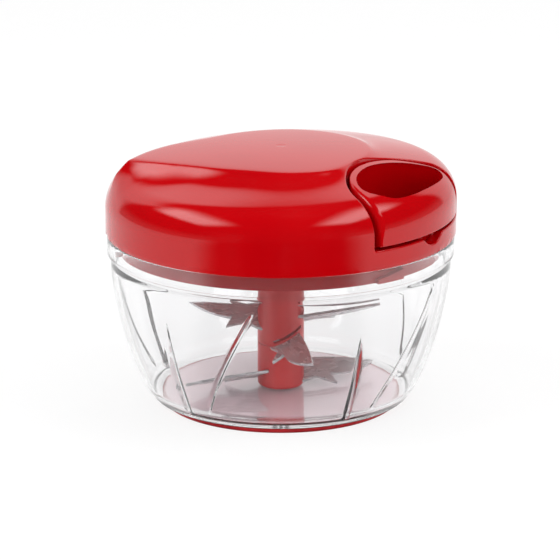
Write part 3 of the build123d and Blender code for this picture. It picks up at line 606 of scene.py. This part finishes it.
def make_bowl():
    """Bowl mesh: outside, rounded rim, inside with ribs and beads, floor with its boss."""
    outside = bowl_outer_line()
    rings = []
    for row, (radius, height) in enumerate(outside + bowl_inner_line()):
        within = row >= len(outside) and radius > RIB_FOOT_RADIUS - 1
        ring = []
        for heading, offset, is_rib in bowl_headings(height, radius):
            proud = 0.0
            if within and offset is not None:
                proud = (rib_proud if is_rib else bead_proud)(height, offset)
            ring.append(polar(radius - proud, heading, height))
        rings.append(ring)
    make_piece("bowl_clear", loft(rings), "clear_plastic", "bowl", ["bowl"], 55.0)


make_bowl()


# Lid skin

def dome_line(heading, inset):
    """Runs and points along the lid's round part, from the axis to its foot, and where the shoulder ends."""
    tilt = tan(radians(DOME_TILT)) * cos(radians(heading - DOME_TILT_HEADING))
    round_radius = SHOULDER_RADIUS - inset
    wall = LID_RADIUS - inset
    centre = wall - round_radius
    lean = atan(centre / DOME_CROWN_RADIUS - tilt)
    start = centre + round_radius * sin(lean)

    def crown(r):
        return DOME_HEIGHT - inset - r * r / (2 * DOME_CROWN_RADIUS) + tilt * r

    middle = crown(start) - round_radius * cos(lean)
    foot = LID_FOOT + (0 if inset else LID_FOOT_ROUND)
    line = [(start * k / CROWN_STEPS, crown(start * k / CROWN_STEPS)) for k in range(CROWN_STEPS)]
    line += arc((centre, middle), round_radius, 90 - degrees(lean), 0, 16)
    shoulder = len(line) - 1
    line += [(wall, middle + (foot - middle) * k / 8) for k in range(1, 9)]
    if not inset:
        line += arc((wall - LID_FOOT_ROUND, foot), LID_FOOT_ROUND, 0, -90, 3)[1:]
    runs = [0.0]
    for a, b in zip(line, line[1:]):
        runs.append(runs[-1] + dist(a, b))
    return runs, line, shoulder


# Slope of the plateau's shares at each of their headings
PLATEAU_ENDS = [PLATEAU_SHARES[0], *PLATEAU_SHARES, PLATEAU_SHARES[-1]]
PLATEAU_SLOPES = [(high[1] - low[1]) / (high[0] - low[0]) for low, high in zip(PLATEAU_ENDS, PLATEAU_ENDS[2:])]


def plateau_edge(heading):
    """Distance from the axis to the plateau's crease on a heading, and its rate in millimetres per radian."""
    turn = (heading - PLATEAU_TIP_HEADING) % 360
    k = min(bisect.bisect_right(PLATEAU_SHARES, (turn, 9)), len(PLATEAU_SHARES) - 1)
    (low, a), (high, b) = PLATEAU_SHARES[k - 1], PLATEAU_SHARES[k]
    span = high - low
    before, after = PLATEAU_SLOPES[k - 1] * span, PLATEAU_SLOPES[k] * span
    t = (turn - low) / span
    share = (2 * t ** 3 - 3 * t * t + 1) * a + (t ** 3 - 2 * t * t + t) * before
    share += (3 * t * t - 2 * t ** 3) * b + (t ** 3 - t * t) * after
    rate = (6 * t * t - 6 * t) * (a - b) + (3 * t * t - 4 * t + 1) * before + (3 * t * t - 2 * t) * after
    return LID_RADIUS * share, LID_RADIUS * degrees(rate / span)


def plateau_skin(radius, heading, inset, dome):
    """Height of the skin with the plateau, whose side fades into the dome."""
    edge, rate = plateau_edge(heading)
    out = (radius - edge) / hypot(1, rate / edge) + inset
    past = (out + hypot(out, CREASE_SOFT)) / 2
    top = LID_TOP - inset - radius * radius / (2 * PLATEAU_CROWN_RADIUS)
    turn = abs((heading - PLATEAU_TIP_HEADING + 180) % 360 - 180)
    fade = TIP_FADE + (PLATEAU_FADE - TIP_FADE) * ease(turn, *TIP_TURNS)
    stand = (top - dome) * exp(-past / fade) * (1 - ease(radius, *WALL_TAPER))
    return dome + stand


class Skin:
    """The lid's skin, or the face inset within it, addressed by heading and by the run from the axis."""

    def __init__(self, inset=0.0, plateau=True):
        self.inset = inset
        self.plateau = plateau
        self.lines = {}

    def line(self, heading):
        """The round part's line on a heading, kept once it is made."""
        key = round(heading % 360, 2)
        if key not in self.lines:
            self.lines[key] = dome_line(key, self.inset)
        return self.lines[key]

    def point(self, heading, run):
        """Point on the skin, with the plateau and its gate mark."""
        runs, line, shoulder = self.line(heading)
        k = min(max(bisect.bisect_right(runs, run), 1), len(runs) - 1)
        share = min(max((run - runs[k - 1]) / (runs[k] - runs[k - 1]), 0.0), 1.0)
        radius, height = (a + (b - a) * share for a, b in zip(line[k - 1], line[k]))
        if self.plateau and run <= runs[shoulder]:
            height = plateau_skin(radius, heading, self.inset, height)
            if not self.inset:
                height -= GATE_DEPTH * (1 - ease(radius, *GATE_EDGES))
        return Vector(polar(radius, heading, height))

    def place(self, flat):
        """Point on the skin from a place in the unrolled plane."""
        return self.point(heading_of(flat.x, flat.y), flat.length)

    def at_radius(self, heading, radius):
        """Unrolled place at a distance from the axis, at most at the shoulder's end."""
        _, line, shoulder = self.line(heading)
        found = (k for k in range(1, shoulder + 1) if line[k][0] >= radius)
        return self.between(heading, found, 0, radius)

    def at_height(self, heading, height):
        """Unrolled place at a height on the shoulder or the wall."""
        line = self.line(heading)[1]
        found = (k for k in range(len(line) - 1, 0, -1) if line[k - 1][1] >= height)
        return self.between(heading, found, 1, height)

    def between(self, heading, found, axis, value):
        """Unrolled place before the first point found, where the line has a value on one of its axes."""
        runs, line, shoulder = self.line(heading)
        for k in found:
            before, after = line[k - 1][axis], line[k][axis]
            return unrolled(heading, runs[k - 1] + (runs[k] - runs[k - 1]) * (value - before) / (after - before))
        return unrolled(heading, runs[shoulder])

    def end_run(self, heading):
        return self.line(heading)[0][-1]


def unrolled(heading, run):
    """Place in the unrolled plane."""
    angle = radians(heading)
    return Vector((run * cos(angle), run * sin(angle)))


# Outlines on the skin

def even(places, step):
    """Closed line through places, with points a step apart."""
    places = places + [places[0]]
    lengths = [0.0]
    for a, b in zip(places, places[1:]):
        lengths.append(lengths[-1] + (b - a).length)
    count = round(lengths[-1] / step)
    line = []
    k = 1
    for j in range(count):
        want = lengths[-1] * j / count
        while lengths[k] < want:
            k += 1
        line.append(places[k - 1].lerp(places[k], (want - lengths[k - 1]) / (lengths[k] - lengths[k - 1])))
    return line


def relaxed(line, times):
    """Closed line with each point drawn towards its neighbours."""
    for _ in range(times):
        line = [(line[k - 1] + 2 * line[k] + line[(k + 1) % len(line)]) / 4 for k in range(len(line))]
    return line


def offset_line(line, grow):
    """Closed line in the plane, drawn anticlockwise, moved outwards by one width or by one at each point."""
    widths = grow if isinstance(grow, list) else [grow] * len(line)
    moved = []
    for k, width in enumerate(widths):
        along = line[(k + 1) % len(line)] - line[k - 1]
        moved.append(line[k] + Vector((along.y, -along.x)).normalized() * width)
    return moved


def handle_outline(skin, centre, radius, floor, scallop):
    """Outline of the handle or its pocket on the skin, anticlockwise: round back, upright sides, level foot."""
    wall = LID_RADIUS - skin.inset
    meet = (wall ** 2 + centre ** 2 - radius ** 2) / (2 * centre)
    side = degrees(acos(meet / wall))
    turn = degrees(acos((meet - centre) / radius))
    places = []
    for k in range(BACK_STEPS + 1):
        angle = radians(turn + (360 - 2 * turn) * k / BACK_STEPS)
        x, y = centre + radius * cos(angle), radius * sin(angle)
        places.append(skin.at_radius(heading_of(x, y), hypot(x, y)))
    edge = [(-wall * sin(radians(side)), floor)]
    if scallop:
        half = sqrt(scallop ** 2 - (SCALLOP_HEIGHT - floor) ** 2)
        start = degrees(atan2(half, SCALLOP_HEIGHT - floor))
        for k in range(61):
            angle = radians(-start + 2 * start * k / 60)
            edge.append((scallop * sin(angle), SCALLOP_HEIGHT - scallop * cos(angle)))
    edge.append((-edge[0][0], floor))
    for (y, z), (y_next, z_next) in zip(edge, edge[1:] + [edge[-1]]):
        count = max(round(hypot(y_next - y, z_next - z) / EDGE_STEP), 1)
        for k in range(count):
            heading = degrees(asin((y + (y_next - y) * k / count) / wall))
            places.append(skin.at_height(heading, z + (z_next - z) * k / count))
    return relaxed(even(places, EDGE_STEP), 4)


def hole_outline(skin):
    """Outline of the finger hole on the skin, anticlockwise."""
    plan = smooth_line(HOLE_SHARES + HOLE_SHARES[:1], 8)[:-1]
    places = [skin.at_radius(heading_of(a, b), LID_RADIUS * hypot(a, b)) for a, b in plan[::-1]]
    places = [p for p, q in zip(places, places[1:] + places[:1]) if (p - q).length > 1e-6]
    return relaxed(even(places, EDGE_STEP), 3)


def turned_edge(skin, line, widths, wall_normal):
    """Rows of points that turn round an edge, from the skin beside the outline to the wall below it."""
    beside = [skin.place(p) for p in offset_line(line, widths)]
    corner = [skin.place(p) for p in line]
    below = []
    for k, point in enumerate(corner):
        along = corner[(k + 1) % len(corner)] - corner[k - 1]
        way = along.cross(wall_normal(point, along)).normalized()
        if way.dot(point - Vector((0, 0, LID_FOOT))) > 0:
            way = -way
        below.append(way)
    below = [p + w.normalized() * abs(g) for p, w, g in zip(corner, relaxed(below, 3), widths)]
    return [[a + b - c + (c - b) * cos(turn) + (c - a) * sin(turn) for a, b, c in zip(beside, below, corner)]
            for turn in (radians(90 * k / 4) for k in range(5))]


class Mesh:
    """Points and faces that are gathered by patches. Points closer than a hair are one."""

    def __init__(self):
        self.points = []
        self.faces = []
        self.known = {}

    def add(self, point):
        """Number of a point, which is added if it is new."""
        key = tuple(round(c, 3) for c in point)
        if key not in self.known:
            self.known[key] = len(self.points)
            self.points.append(tuple(point))
        return self.known[key]

    def face(self, *points):
        """Face through points, unless it has shrunk to a line."""
        ring = [self.add(p) for p in points]
        ring = [a for a, b in zip(ring, ring[1:] + ring[:1]) if a != b]
        if len(set(ring)) > 2:
            self.faces.append(ring)

    def strip(self, first, second, closed=True):
        """Quads between two lines with as many points each."""
        last = len(first) if closed else len(first) - 1
        for k in range(last):
            j = (k + 1) % len(first)
            self.face(first[k], first[j], second[j], second[k])

    def strips(self, rows, flip=False):
        """Quads between each two of many closed lines."""
        for pair in zip(rows, rows[1:]):
            self.strip(*(pair[::-1] if flip else pair))

    def level(self, rings, flip=False):
        """Flat face with holes."""
        flat = [p for ring in rings for p in ring]
        for triangle in geometry.tessellate_polygon(rings):
            a, b, c = (flat[k] for k in triangle)
            up = (b - a).cross(c - a).z > 0
            self.face(*((a, b, c) if up != flip else (c, b, a)))


def place_tree(places):
    """Search tree of places in the unrolled plane."""
    tree = kdtree.KDTree(len(places))
    for k, place in enumerate(places):
        tree.insert((place.x, place.y, 0), k)
    tree.balance()
    return tree


def near(tree, place, distance):
    """Whether a place of the tree is closer than a distance."""
    return tree.find(Vector((place.x, place.y, 0)))[2] < distance


def skin_patch(mesh, skin, outer, holes, lines, inside):
    """Triangles over the skin between an outer outline and holes, through the points of lines."""
    rims = [outer, *holes]
    kept = [p for rim in rims for p in rim]
    rim_tree = place_tree(kept)
    extra = [p for line in lines for p in line if inside(p) and not near(rim_tree, p, LINE_GAP)]
    full_tree = place_tree(kept + extra)
    end = max(p.length for p in outer)
    run = 0.0
    row = 0
    while run < end:
        close = run > CLOSE_FROM
        count = max(int(2 * pi * run / PLACE_STEPS[close]), 1)
        for k in range(count):
            place = unrolled(360 * (k + 0.5 * (row % 2)) / count, run)
            if inside(place) and not near(full_tree, place, GRID_GAP):
                extra.append(place)
        run += ROW_STEPS[close]
        row += 1
    edges = []
    first = 0
    owner = []
    for number, rim in enumerate(rims):
        edges += [(first + k, first + (k + 1) % len(rim)) for k in range(len(rim))]
        owner += [number] * len(rim)
        first += len(rim)
    result = geometry.delaunay_2d_cdt(kept + extra, edges, [], 0, 1e-5)
    places, triangles, sources = result[0], result[2], result[3]
    points = [skin.place(p) for p in places]
    for triangle in triangles:
        held = {owner[s[0]] if s and s[0] < len(owner) else None for s in (sources[k] for k in triangle)}
        middle = sum((places[k] for k in triangle), Vector((0, 0))) / 3
        if len(held) == 1 and None not in held:
            rim = rims[held.pop()]
            if (rim is outer) != encloses(rim, middle):
                continue
        mesh.face(*(points[k] for k in triangle))


def encloses(line, place):
    """Whether a closed line goes round a place."""
    odd = False
    for a, b in zip(line, line[1:] + line[:1]):
        if (a.y > place.y) != (b.y > place.y):
            odd ^= place.x < a.x + (b.x - a.x) * (place.y - a.y) / (b.y - a.y)
    return odd


def crease_lines(skin):
    """Lines of places along the plateau's crease and beside it, round the gate mark and across the leaf's tip."""
    lines = []
    for out in CREASE_OUTS:
        radii = [edge + out * hypot(1, rate / edge) for edge, rate in map(plateau_edge, range(360))]
        lines.append([skin.at_radius(k, r) for k, r in enumerate(radii) if r < CREASE_LIMIT])
    lines += [[unrolled(12 * k, radius) for k in range(30)] for radius in GATE_RINGS]
    start = plateau_edge(PLATEAU_TIP_HEADING)[0] - TIP_LINE_INSET
    radii = [start + k * TIP_LINE_STEP for k in range(30)]
    return lines + [[skin.at_radius(PLATEAU_TIP_HEADING, r) for r in radii if r < LID_RADIUS]]


def pocket_normal(centre, floor, scallop):
    """Normals of the pocket's faces: its round wall, its floor and the scallop in it."""
    def normal(point, along):
        if scallop and point.z < floor - SCALLOP_BAND:
            return Vector((0, point.y, point.z - SCALLOP_HEIGHT)).normalized()
        if point.z > floor + FLOOR_BAND:
            return Vector((point.x - centre, point.y, 0)).normalized()
        return Vector((0, 0, 1))
    return normal


def split_rim(rim, floor):
    """Parts of an edge below the skin: over the back, and along the foot from the left corner to the right."""
    left, right = [max((k for k, p in enumerate(rim) if p.y * side > 0),
                       key=lambda k: abs(rim[k].y) - CORNER_WEIGHT * abs(rim[k].z - floor)) for side in (1, -1)]
    order = [rim[(left + k) % len(rim)] for k in range(len(rim))]
    cut = (right - left) % len(rim)
    return order[:cut + 1], order[cut:] + order[:1]


def walls_below(mesh, over, floor, centre, radius, flip=False):
    """Upright wall from an edge over the back down to a level, ending in one face at each side."""
    def foot_of(point):
        away = Vector((point.x - centre, point.y, 0)).normalized() * radius
        return Vector((centre + away.x, away.y, floor))

    steep = [k for k in range(len(over) - 1)
             if (over[k + 1] - over[k]).xy.length > STEEP_SHARE * (over[k + 1] - over[k]).length]
    first, last = steep[0], steep[-1] + 1
    feet = [foot_of(p) for p in over[first:last + 1]]
    rings = [[over[k], over[k + 1], feet[k + 1 - first], feet[k - first]] for k in range(first + 1, last - 1)]
    rings += [over[:first + 2] + [feet[1]], over[last - 1:] + [feet[-2]]]
    for ring in rings:
        mesh.face(*(ring[::-1] if flip else ring))
    return [over[0]] + feet[1:-1] + [over[-1]]


def cover_side(mesh, inset, grow, flip):
    """Outer or inner side of the lid cover: skin, pocket and scallop. Gives its foot."""
    skin = Skin(inset)
    radius = POCKET_RADIUS + grow
    floor = POCKET_FLOOR - grow
    scallop = SCALLOP_RADIUS + grow
    pocket = handle_outline(skin, POCKET_CENTRE, radius, floor, scallop)
    rows = turned_edge(skin, pocket, [RIM_EDGE] * len(pocket), pocket_normal(POCKET_CENTRE, floor, scallop))
    beside = offset_line(pocket, RIM_EDGE)
    foot = [unrolled(k, skin.end_run(k)) for k in range(360)]
    rim_rings = [offset_line(pocket, RIM_EDGE + out) for out in RIM_RINGS]

    def inside(place):
        if place.length > skin.end_run(heading_of(place.x, place.y)) - FOOT_GAP:
            return False
        point = skin.place(place)
        in_plan = hypot(point.x - POCKET_CENTRE, point.y) < radius + RIM_EDGE + RIM_GAP
        reach = scallop + RIM_EDGE + RIM_GAP
        in_scallop = point.x > 0 and hypot(point.y, point.z - SCALLOP_HEIGHT) < reach
        return not (in_plan and (point.z > floor - RIM_EDGE - RIM_GAP or in_scallop))

    start = len(mesh.faces)
    skin_patch(mesh, skin, foot, [beside], crease_lines(skin) + rim_rings, inside)
    mesh.strips(rows, flip=True)
    over, along = split_rim(rows[-1], floor)
    feet = walls_below(mesh, over, floor, POCKET_CENTRE, radius, flip=True)
    low = [k for k, p in enumerate(along) if p.z < floor - FLOOR_BAND]
    notch = along[low[0] - 1:low[-1] + 2]
    end = SCALLOP_END - grow
    inner = [Vector((end, p.y, min(p.z, floor))) for p in notch]
    mesh.strip(notch, inner, closed=False)
    mesh.face(*inner)
    outline = [Vector((p.x, p.y, floor)) for p in feet]
    outline += along[1:low[0] - 1] + [notch[0], inner[0], inner[-1], notch[-1]] + along[low[-1] + 2:-1]
    mesh.level([outline])
    if flip:
        mesh.faces[start:] = [f[::-1] for f in mesh.faces[start:]]
    return [skin.place(p) for p in foot]


def make_cover():
    """Lid cover: outer and inner side, joined along the foot."""
    mesh = Mesh()
    outer_foot = cover_side(mesh, 0.0, 0.0, False)
    inner_foot = cover_side(mesh, LID_WALL, POCKET_WALL, True)
    mesh.strip(inner_foot, outer_foot)
    make_piece("lid_cover_skin", (mesh.points, mesh.faces), "red_gloss", "lid", ["lid_cover"], 38.0)


def side_widths(skin, outline):
    """How wide the handle's edge is rounded at each point: more down its sides than at its back and foot."""
    widths = []
    for place in outline:
        point = skin.place(place)
        side = ease(abs(point.y), HANDLE_RADIUS - SIDE_SPAN[0], HANDLE_RADIUS - SIDE_SPAN[1])
        side *= ease(point.z, HANDLE_FOOT + SIDE_RISE[0], HANDLE_FOOT + SIDE_RISE[1])
        widths.append(-RIM_EDGE - (SIDE_ROUND - RIM_EDGE) * side)
    return widths


def make_handle():
    """Pull handle: the round part's skin over the pocket, with the finger hole through it."""
    mesh = Mesh()
    skin = Skin(plateau=False)
    outline = handle_outline(skin, HANDLE_CENTRE, HANDLE_RADIUS, HANDLE_FOOT, 0)
    hole = hole_outline(skin)
    widths = side_widths(skin, outline)
    outer_rows = turned_edge(skin, outline, widths, pocket_normal(HANDLE_CENTRE, HANDLE_FOOT, 0))

    def hole_normal(_point, along):
        return Vector((along.y, -along.x, 0)).normalized()

    hole_rows = turned_edge(skin, hole, [RIM_EDGE] * len(hole), hole_normal)
    outer = offset_line(outline, widths)
    within = offset_line(hole, RIM_EDGE)

    def inside(place):
        return encloses(outer, place) and not encloses(within, place)

    lines = [offset_line(outer, -out) for out in RIM_RINGS]
    lines += [offset_line(hole, RIM_EDGE + out) for out in RIM_RINGS]
    skin_patch(mesh, skin, outer, [within], lines, inside)
    mesh.strips(outer_rows)
    mesh.strips(hole_rows, flip=True)
    over, along = split_rim(outer_rows[-1], HANDLE_FOOT)
    feet = walls_below(mesh, over, HANDLE_FOOT, HANDLE_CENTRE, HANDLE_RADIUS)
    low_hole = [Vector((p.x, p.y, HANDLE_FOOT)) for p in hole_rows[-1]]
    mesh.strip(low_hole, hole_rows[-1])
    mesh.level([feet + along[1:-1], low_hole], flip=True)
    make_piece("pull_handle_grip", (mesh.points, mesh.faces), "red_gloss", "handle", ["pull_handle"], 38.0)


def rounded_box(low, high, corner, steps=4):
    """Rings of a box with rounded corners, from its back to its front along X."""
    (x0, y0, z0), (x1, y1, z1) = low, high
    rings = []
    for k in range(2 * steps + 2):
        turn = radians(90 * (k if k <= steps else k - 1) / steps)
        x = x0 + corner * (1 - cos(turn)) if k <= steps else x1 - corner * (1 + cos(turn))
        inset = corner * (1 - sin(turn))
        ring = []
        for (cy, cz), start in (((y1, z1), 0), ((y0, z1), 90), ((y0, z0), 180), ((y1, z0), 270)):
            centre = (cy - copysign(corner, cy - (y0 + y1) / 2),
                      cz - copysign(corner, cz - (z0 + z1) / 2))
            ring += [(x, *p) for p in arc(centre, corner - inset, start, start + 90, steps)]
        rings.append(ring)
    return rings


def make_cord_block():
    """Block in the handle's back wall that the cord is knotted into, with rounded edges."""
    low = (HANDLE_CENTRE - HANDLE_RADIUS + BLOCK_SINK, -BLOCK_HALF_WIDTH, HANDLE_FOOT)
    rings = rounded_box(low, (BLOCK_FRONT, BLOCK_HALF_WIDTH, BLOCK_TOP), BLOCK_ROUND)
    make_piece("handle_cord_block", loft(rings, flip=True), "red_gloss", "handle")


def set_blade(node, turn, drop, droop, mirrored):
    """Blade as the photograph shows it: the solid's form, turned or mirrored, lowered, most at its tips."""
    solid = frame["nodes"][node]
    mesh = solid.data.copy()
    place = solid.matrix_world.copy()
    for vertex in mesh.vertices:
        point = place @ vertex.co
        radius = hypot(point.x, point.y)
        heading = turn + (-1 if mirrored else 1) * heading_of(point.x, point.y)
        share = min(radius / (BLADE_REACH * MM), 1.0)
        vertex.co = polar(radius, heading, point.z - (drop + droop * share * share) * MM)
    if mirrored:
        mesh.flip_normals()
    piece = add_object(node + "_set", mesh)
    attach(piece, "rotor")
    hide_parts(node)


def make_stem_foot():
    """Foot of the stem: a ring that reaches round the floor's boss."""
    profile = [(STEM_RADIUS - 0.02, RING_TOP), (STEM_RADIUS, RING_TOP - RING_EDGE)]
    profile += arc((STEM_RADIUS - RING_ROUND, RING_LOW + RING_ROUND), RING_ROUND, 0, -90, 8)
    profile += arc((RING_BORE + RING_EDGE, RING_LOW + RING_EDGE), RING_EDGE, -90, -180, 3)
    profile.append((RING_BORE, RING_TOP))
    rings = [[polar(r, 3 * k, z) for k in range(120)] for r, z in profile]
    make_piece("stem_foot", loft(rings + rings[:1], closed=False), "stem_plastic", "rotor")


def cord_circle(x, radius, sides):
    """Ring of points round the cord's line."""
    angles = [radians(360 / sides * k) for k in range(sides)]
    return [(x, radius * cos(a), CORD_HEIGHT + radius * sin(a)) for a in angles]


def make_eyelet():
    """Flanged eyelet in the pocket's back wall that the cord comes out of."""
    wall = POCKET_CENTRE - POCKET_RADIUS
    tail = wall - POCKET_WALL - EYELET_TAIL
    profile = [(EYELET_BORE, tail), (EYELET_RADIUS, tail), (EYELET_RADIUS, wall + EYELET_FLANGE)]
    profile += arc((EYELET_RADIUS - EYELET_ROUND, wall + EYELET_FLANGE), EYELET_ROUND, 0, 90, 4)
    profile += arc((EYELET_BORE + EYELET_MOUTH_ROUND, wall + EYELET_MOUTH), EYELET_MOUTH_ROUND, 90, 180, 4)
    rings = [cord_circle(x, r, 48) for r, x in profile]
    make_piece("cord_eyelet", loft(rings + rings[:1], closed=False), "bush_plastic", "lid", ["cord_grommet"])


def make_cord():
    """Cord from the eyelet to the block, which is drawn out as the handle is pulled."""
    start = POCKET_CENTRE - POCKET_RADIUS - POCKET_WALL
    stop = BLOCK_FRONT - CORD_END
    rings = [cord_circle(start + (stop - start) * k / CORD_STEPS, CORD_RADIUS, 18) for k in range(CORD_STEPS + 1)]
    cord = make_piece("pull_cord", loft(rings, flip=True), "cord", None, ["cord_tail"])
    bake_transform(cord)


make_cover()
make_eyelet()
make_cord()
make_handle()
make_cord_block()
make_stem_foot()
for blade, changes in BLADE_SETS.items():
    set_blade(blade, *changes)


# Studio

def look_from(obj, place, target):
    """Camera or lamp set at a place, looking at another, both in millimetres."""
    obj.location = [c * MM for c in place]
    obj.rotation_mode = "QUATERNION"
    obj.rotation_quaternion = (Vector(target) - Vector(place)).to_track_quat("-Z", "Y")


def make_camera():
    data = bpy.data.cameras.new("camera")
    data.sensor_width = SENSOR_WIDTH
    data.lens = CAMERA_LENS
    data.shift_x = (FRAME_PIXELS / 2 - AXIS_PIXEL) / FRAME_PIXELS
    data.clip_start, data.clip_end = CLIP_RANGE
    camera = add_object("camera", data)
    place = polar(CAMERA_DISTANCE, CAMERA_HEADING, CAMERA_HEIGHT)
    drop = CAMERA_DISTANCE * tan(radians(CAMERA_PITCH))
    look_from(camera, place, (0, 0, CAMERA_HEIGHT - drop))
    bpy.context.scene.camera = camera


def across(look, way):
    """Parts of a direction or a place towards the camera's stand, to its right and up."""
    angle = radians(CAMERA_HEADING)
    toward = look.vector("DOT_PRODUCT", way, (cos(angle), sin(angle), 0), out="Value")
    aside = look.vector("DOT_PRODUCT", way, (-sin(angle), cos(angle), 0), out="Value")
    return toward, aside, look.add("SeparateXYZ", {}, {0: way}, out="Z")


def make_floor():
    """Pale floor that keeps the object's shadow. In gloss it is dark in front."""
    half = FLOOR_HALF * MM
    mesh = bpy.data.meshes.new("floor")
    mesh.from_pydata([(-half, -half, 0), (half, -half, 0), (half, half, 0), (-half, half, 0)], [], [(0, 1, 2, 3)])
    floor = add_object("floor", mesh)
    look = Finish("floor")
    paper = look.principled(Base_Color=(0.9, 0.9, 0.9), Roughness=0.9, Specular_IOR_Level=0.2)
    white, dark = (look.add("Emission", {}, {"Color": (s, s, s), "Strength": s}) for s in (1.0, 0.0))
    mirrored = look.ray("Is Glossy Ray")
    seen = look.ray("Is Camera Ray") + mirrored + look.ray("Is Transmission Ray")
    share = seen.math("MINIMUM", 1.0) * FLOOR_WHITE
    toward = across(look, look.vector("NORMALIZE", look.place()))[0]
    front = look.spread(toward, *FRONT_EDGE) * mirrored
    lit = look.add("MixShader", {}, {0: share, 1: paper, 2: white})
    mesh.materials.append(look.surface(look.add("MixShader", {}, {0: front, 1: lit, 2: dark})))


def make_world():
    """White surroundings. Gloss shows a white backdrop, a dark front and ceiling, and two long soft panels."""
    world = bpy.data.worlds.new("studio")
    bpy.context.scene.world = world
    look = Finish("studio", world)
    toward, aside, up = across(look, look.add("TexCoord", {}, {}, "Generated"))
    level_toward = toward.math("DIVIDE", (toward * toward + aside * aside + 1e-4).math("SQRT"))
    backdrop = (1 - look.spread(up, *BACKDROP_EDGE)) * (1 - look.spread(level_toward, *BACKDROP_SIDE_EDGE))
    side = (1 - look.spread(up, *SIDE_EDGE)) * (1 - look.spread(toward, *FRONT_EDGE)) * SIDE_STRENGTH
    level = up.math("MAXIMUM", LEAST_RISE)
    panel = 0.0
    for ahead, apart in (LEFT_PANEL, RIGHT_PANEL):
        length = (toward.math("DIVIDE", level) - ahead).math("ABSOLUTE")
        width = (aside.math("DIVIDE", level) - apart).math("ABSOLUTE")
        panel = (1 - look.spread(length, *PANEL_LENGTH_EDGE)) * (1 - look.spread(width, *PANEL_WIDTH_EDGE)) + panel
    mirrored = look.ray("Is Glossy Ray")
    gloss = (backdrop * BACKDROP_STRENGTH).math("MAXIMUM", side) + panel * PANEL_STRENGTH + CEILING_STRENGTH
    strength = gloss * mirrored + (1 - mirrored) * (1 - look.ray("Is Diffuse Ray") * FILL_LOSS)
    look.surface(look.add("Background", {}, {"Color": (1, 1, 1), "Strength": strength}))


def make_lamp(name, turn, elevation, distance, length, width, power):
    """Soft lamp that lights the object. Its gloss comes from the panels in the surroundings."""
    data = bpy.data.lights.new(name, "AREA")
    data.shape = "RECTANGLE"
    data.size = length * MM
    data.size_y = width * MM
    data.energy = power
    lamp = add_object(name, data)
    lamp.visible_glossy = False
    level = distance * cos(radians(elevation))
    height = distance * sin(radians(elevation))
    look_from(lamp, polar(level, CAMERA_HEADING + turn, height), LAMP_AIM)


make_camera()
make_floor()
make_world()
for lamp_name, lamp_values in LAMPS.items():
    make_lamp(lamp_name, *lamp_values)

bpy.context.scene.view_settings.view_transform = "Standard"
cycles = bpy.context.scene.cycles
cycles.max_bounces = cycles.transmission_bounces = cycles.transparent_max_bounces = LIGHT_BOUNCES
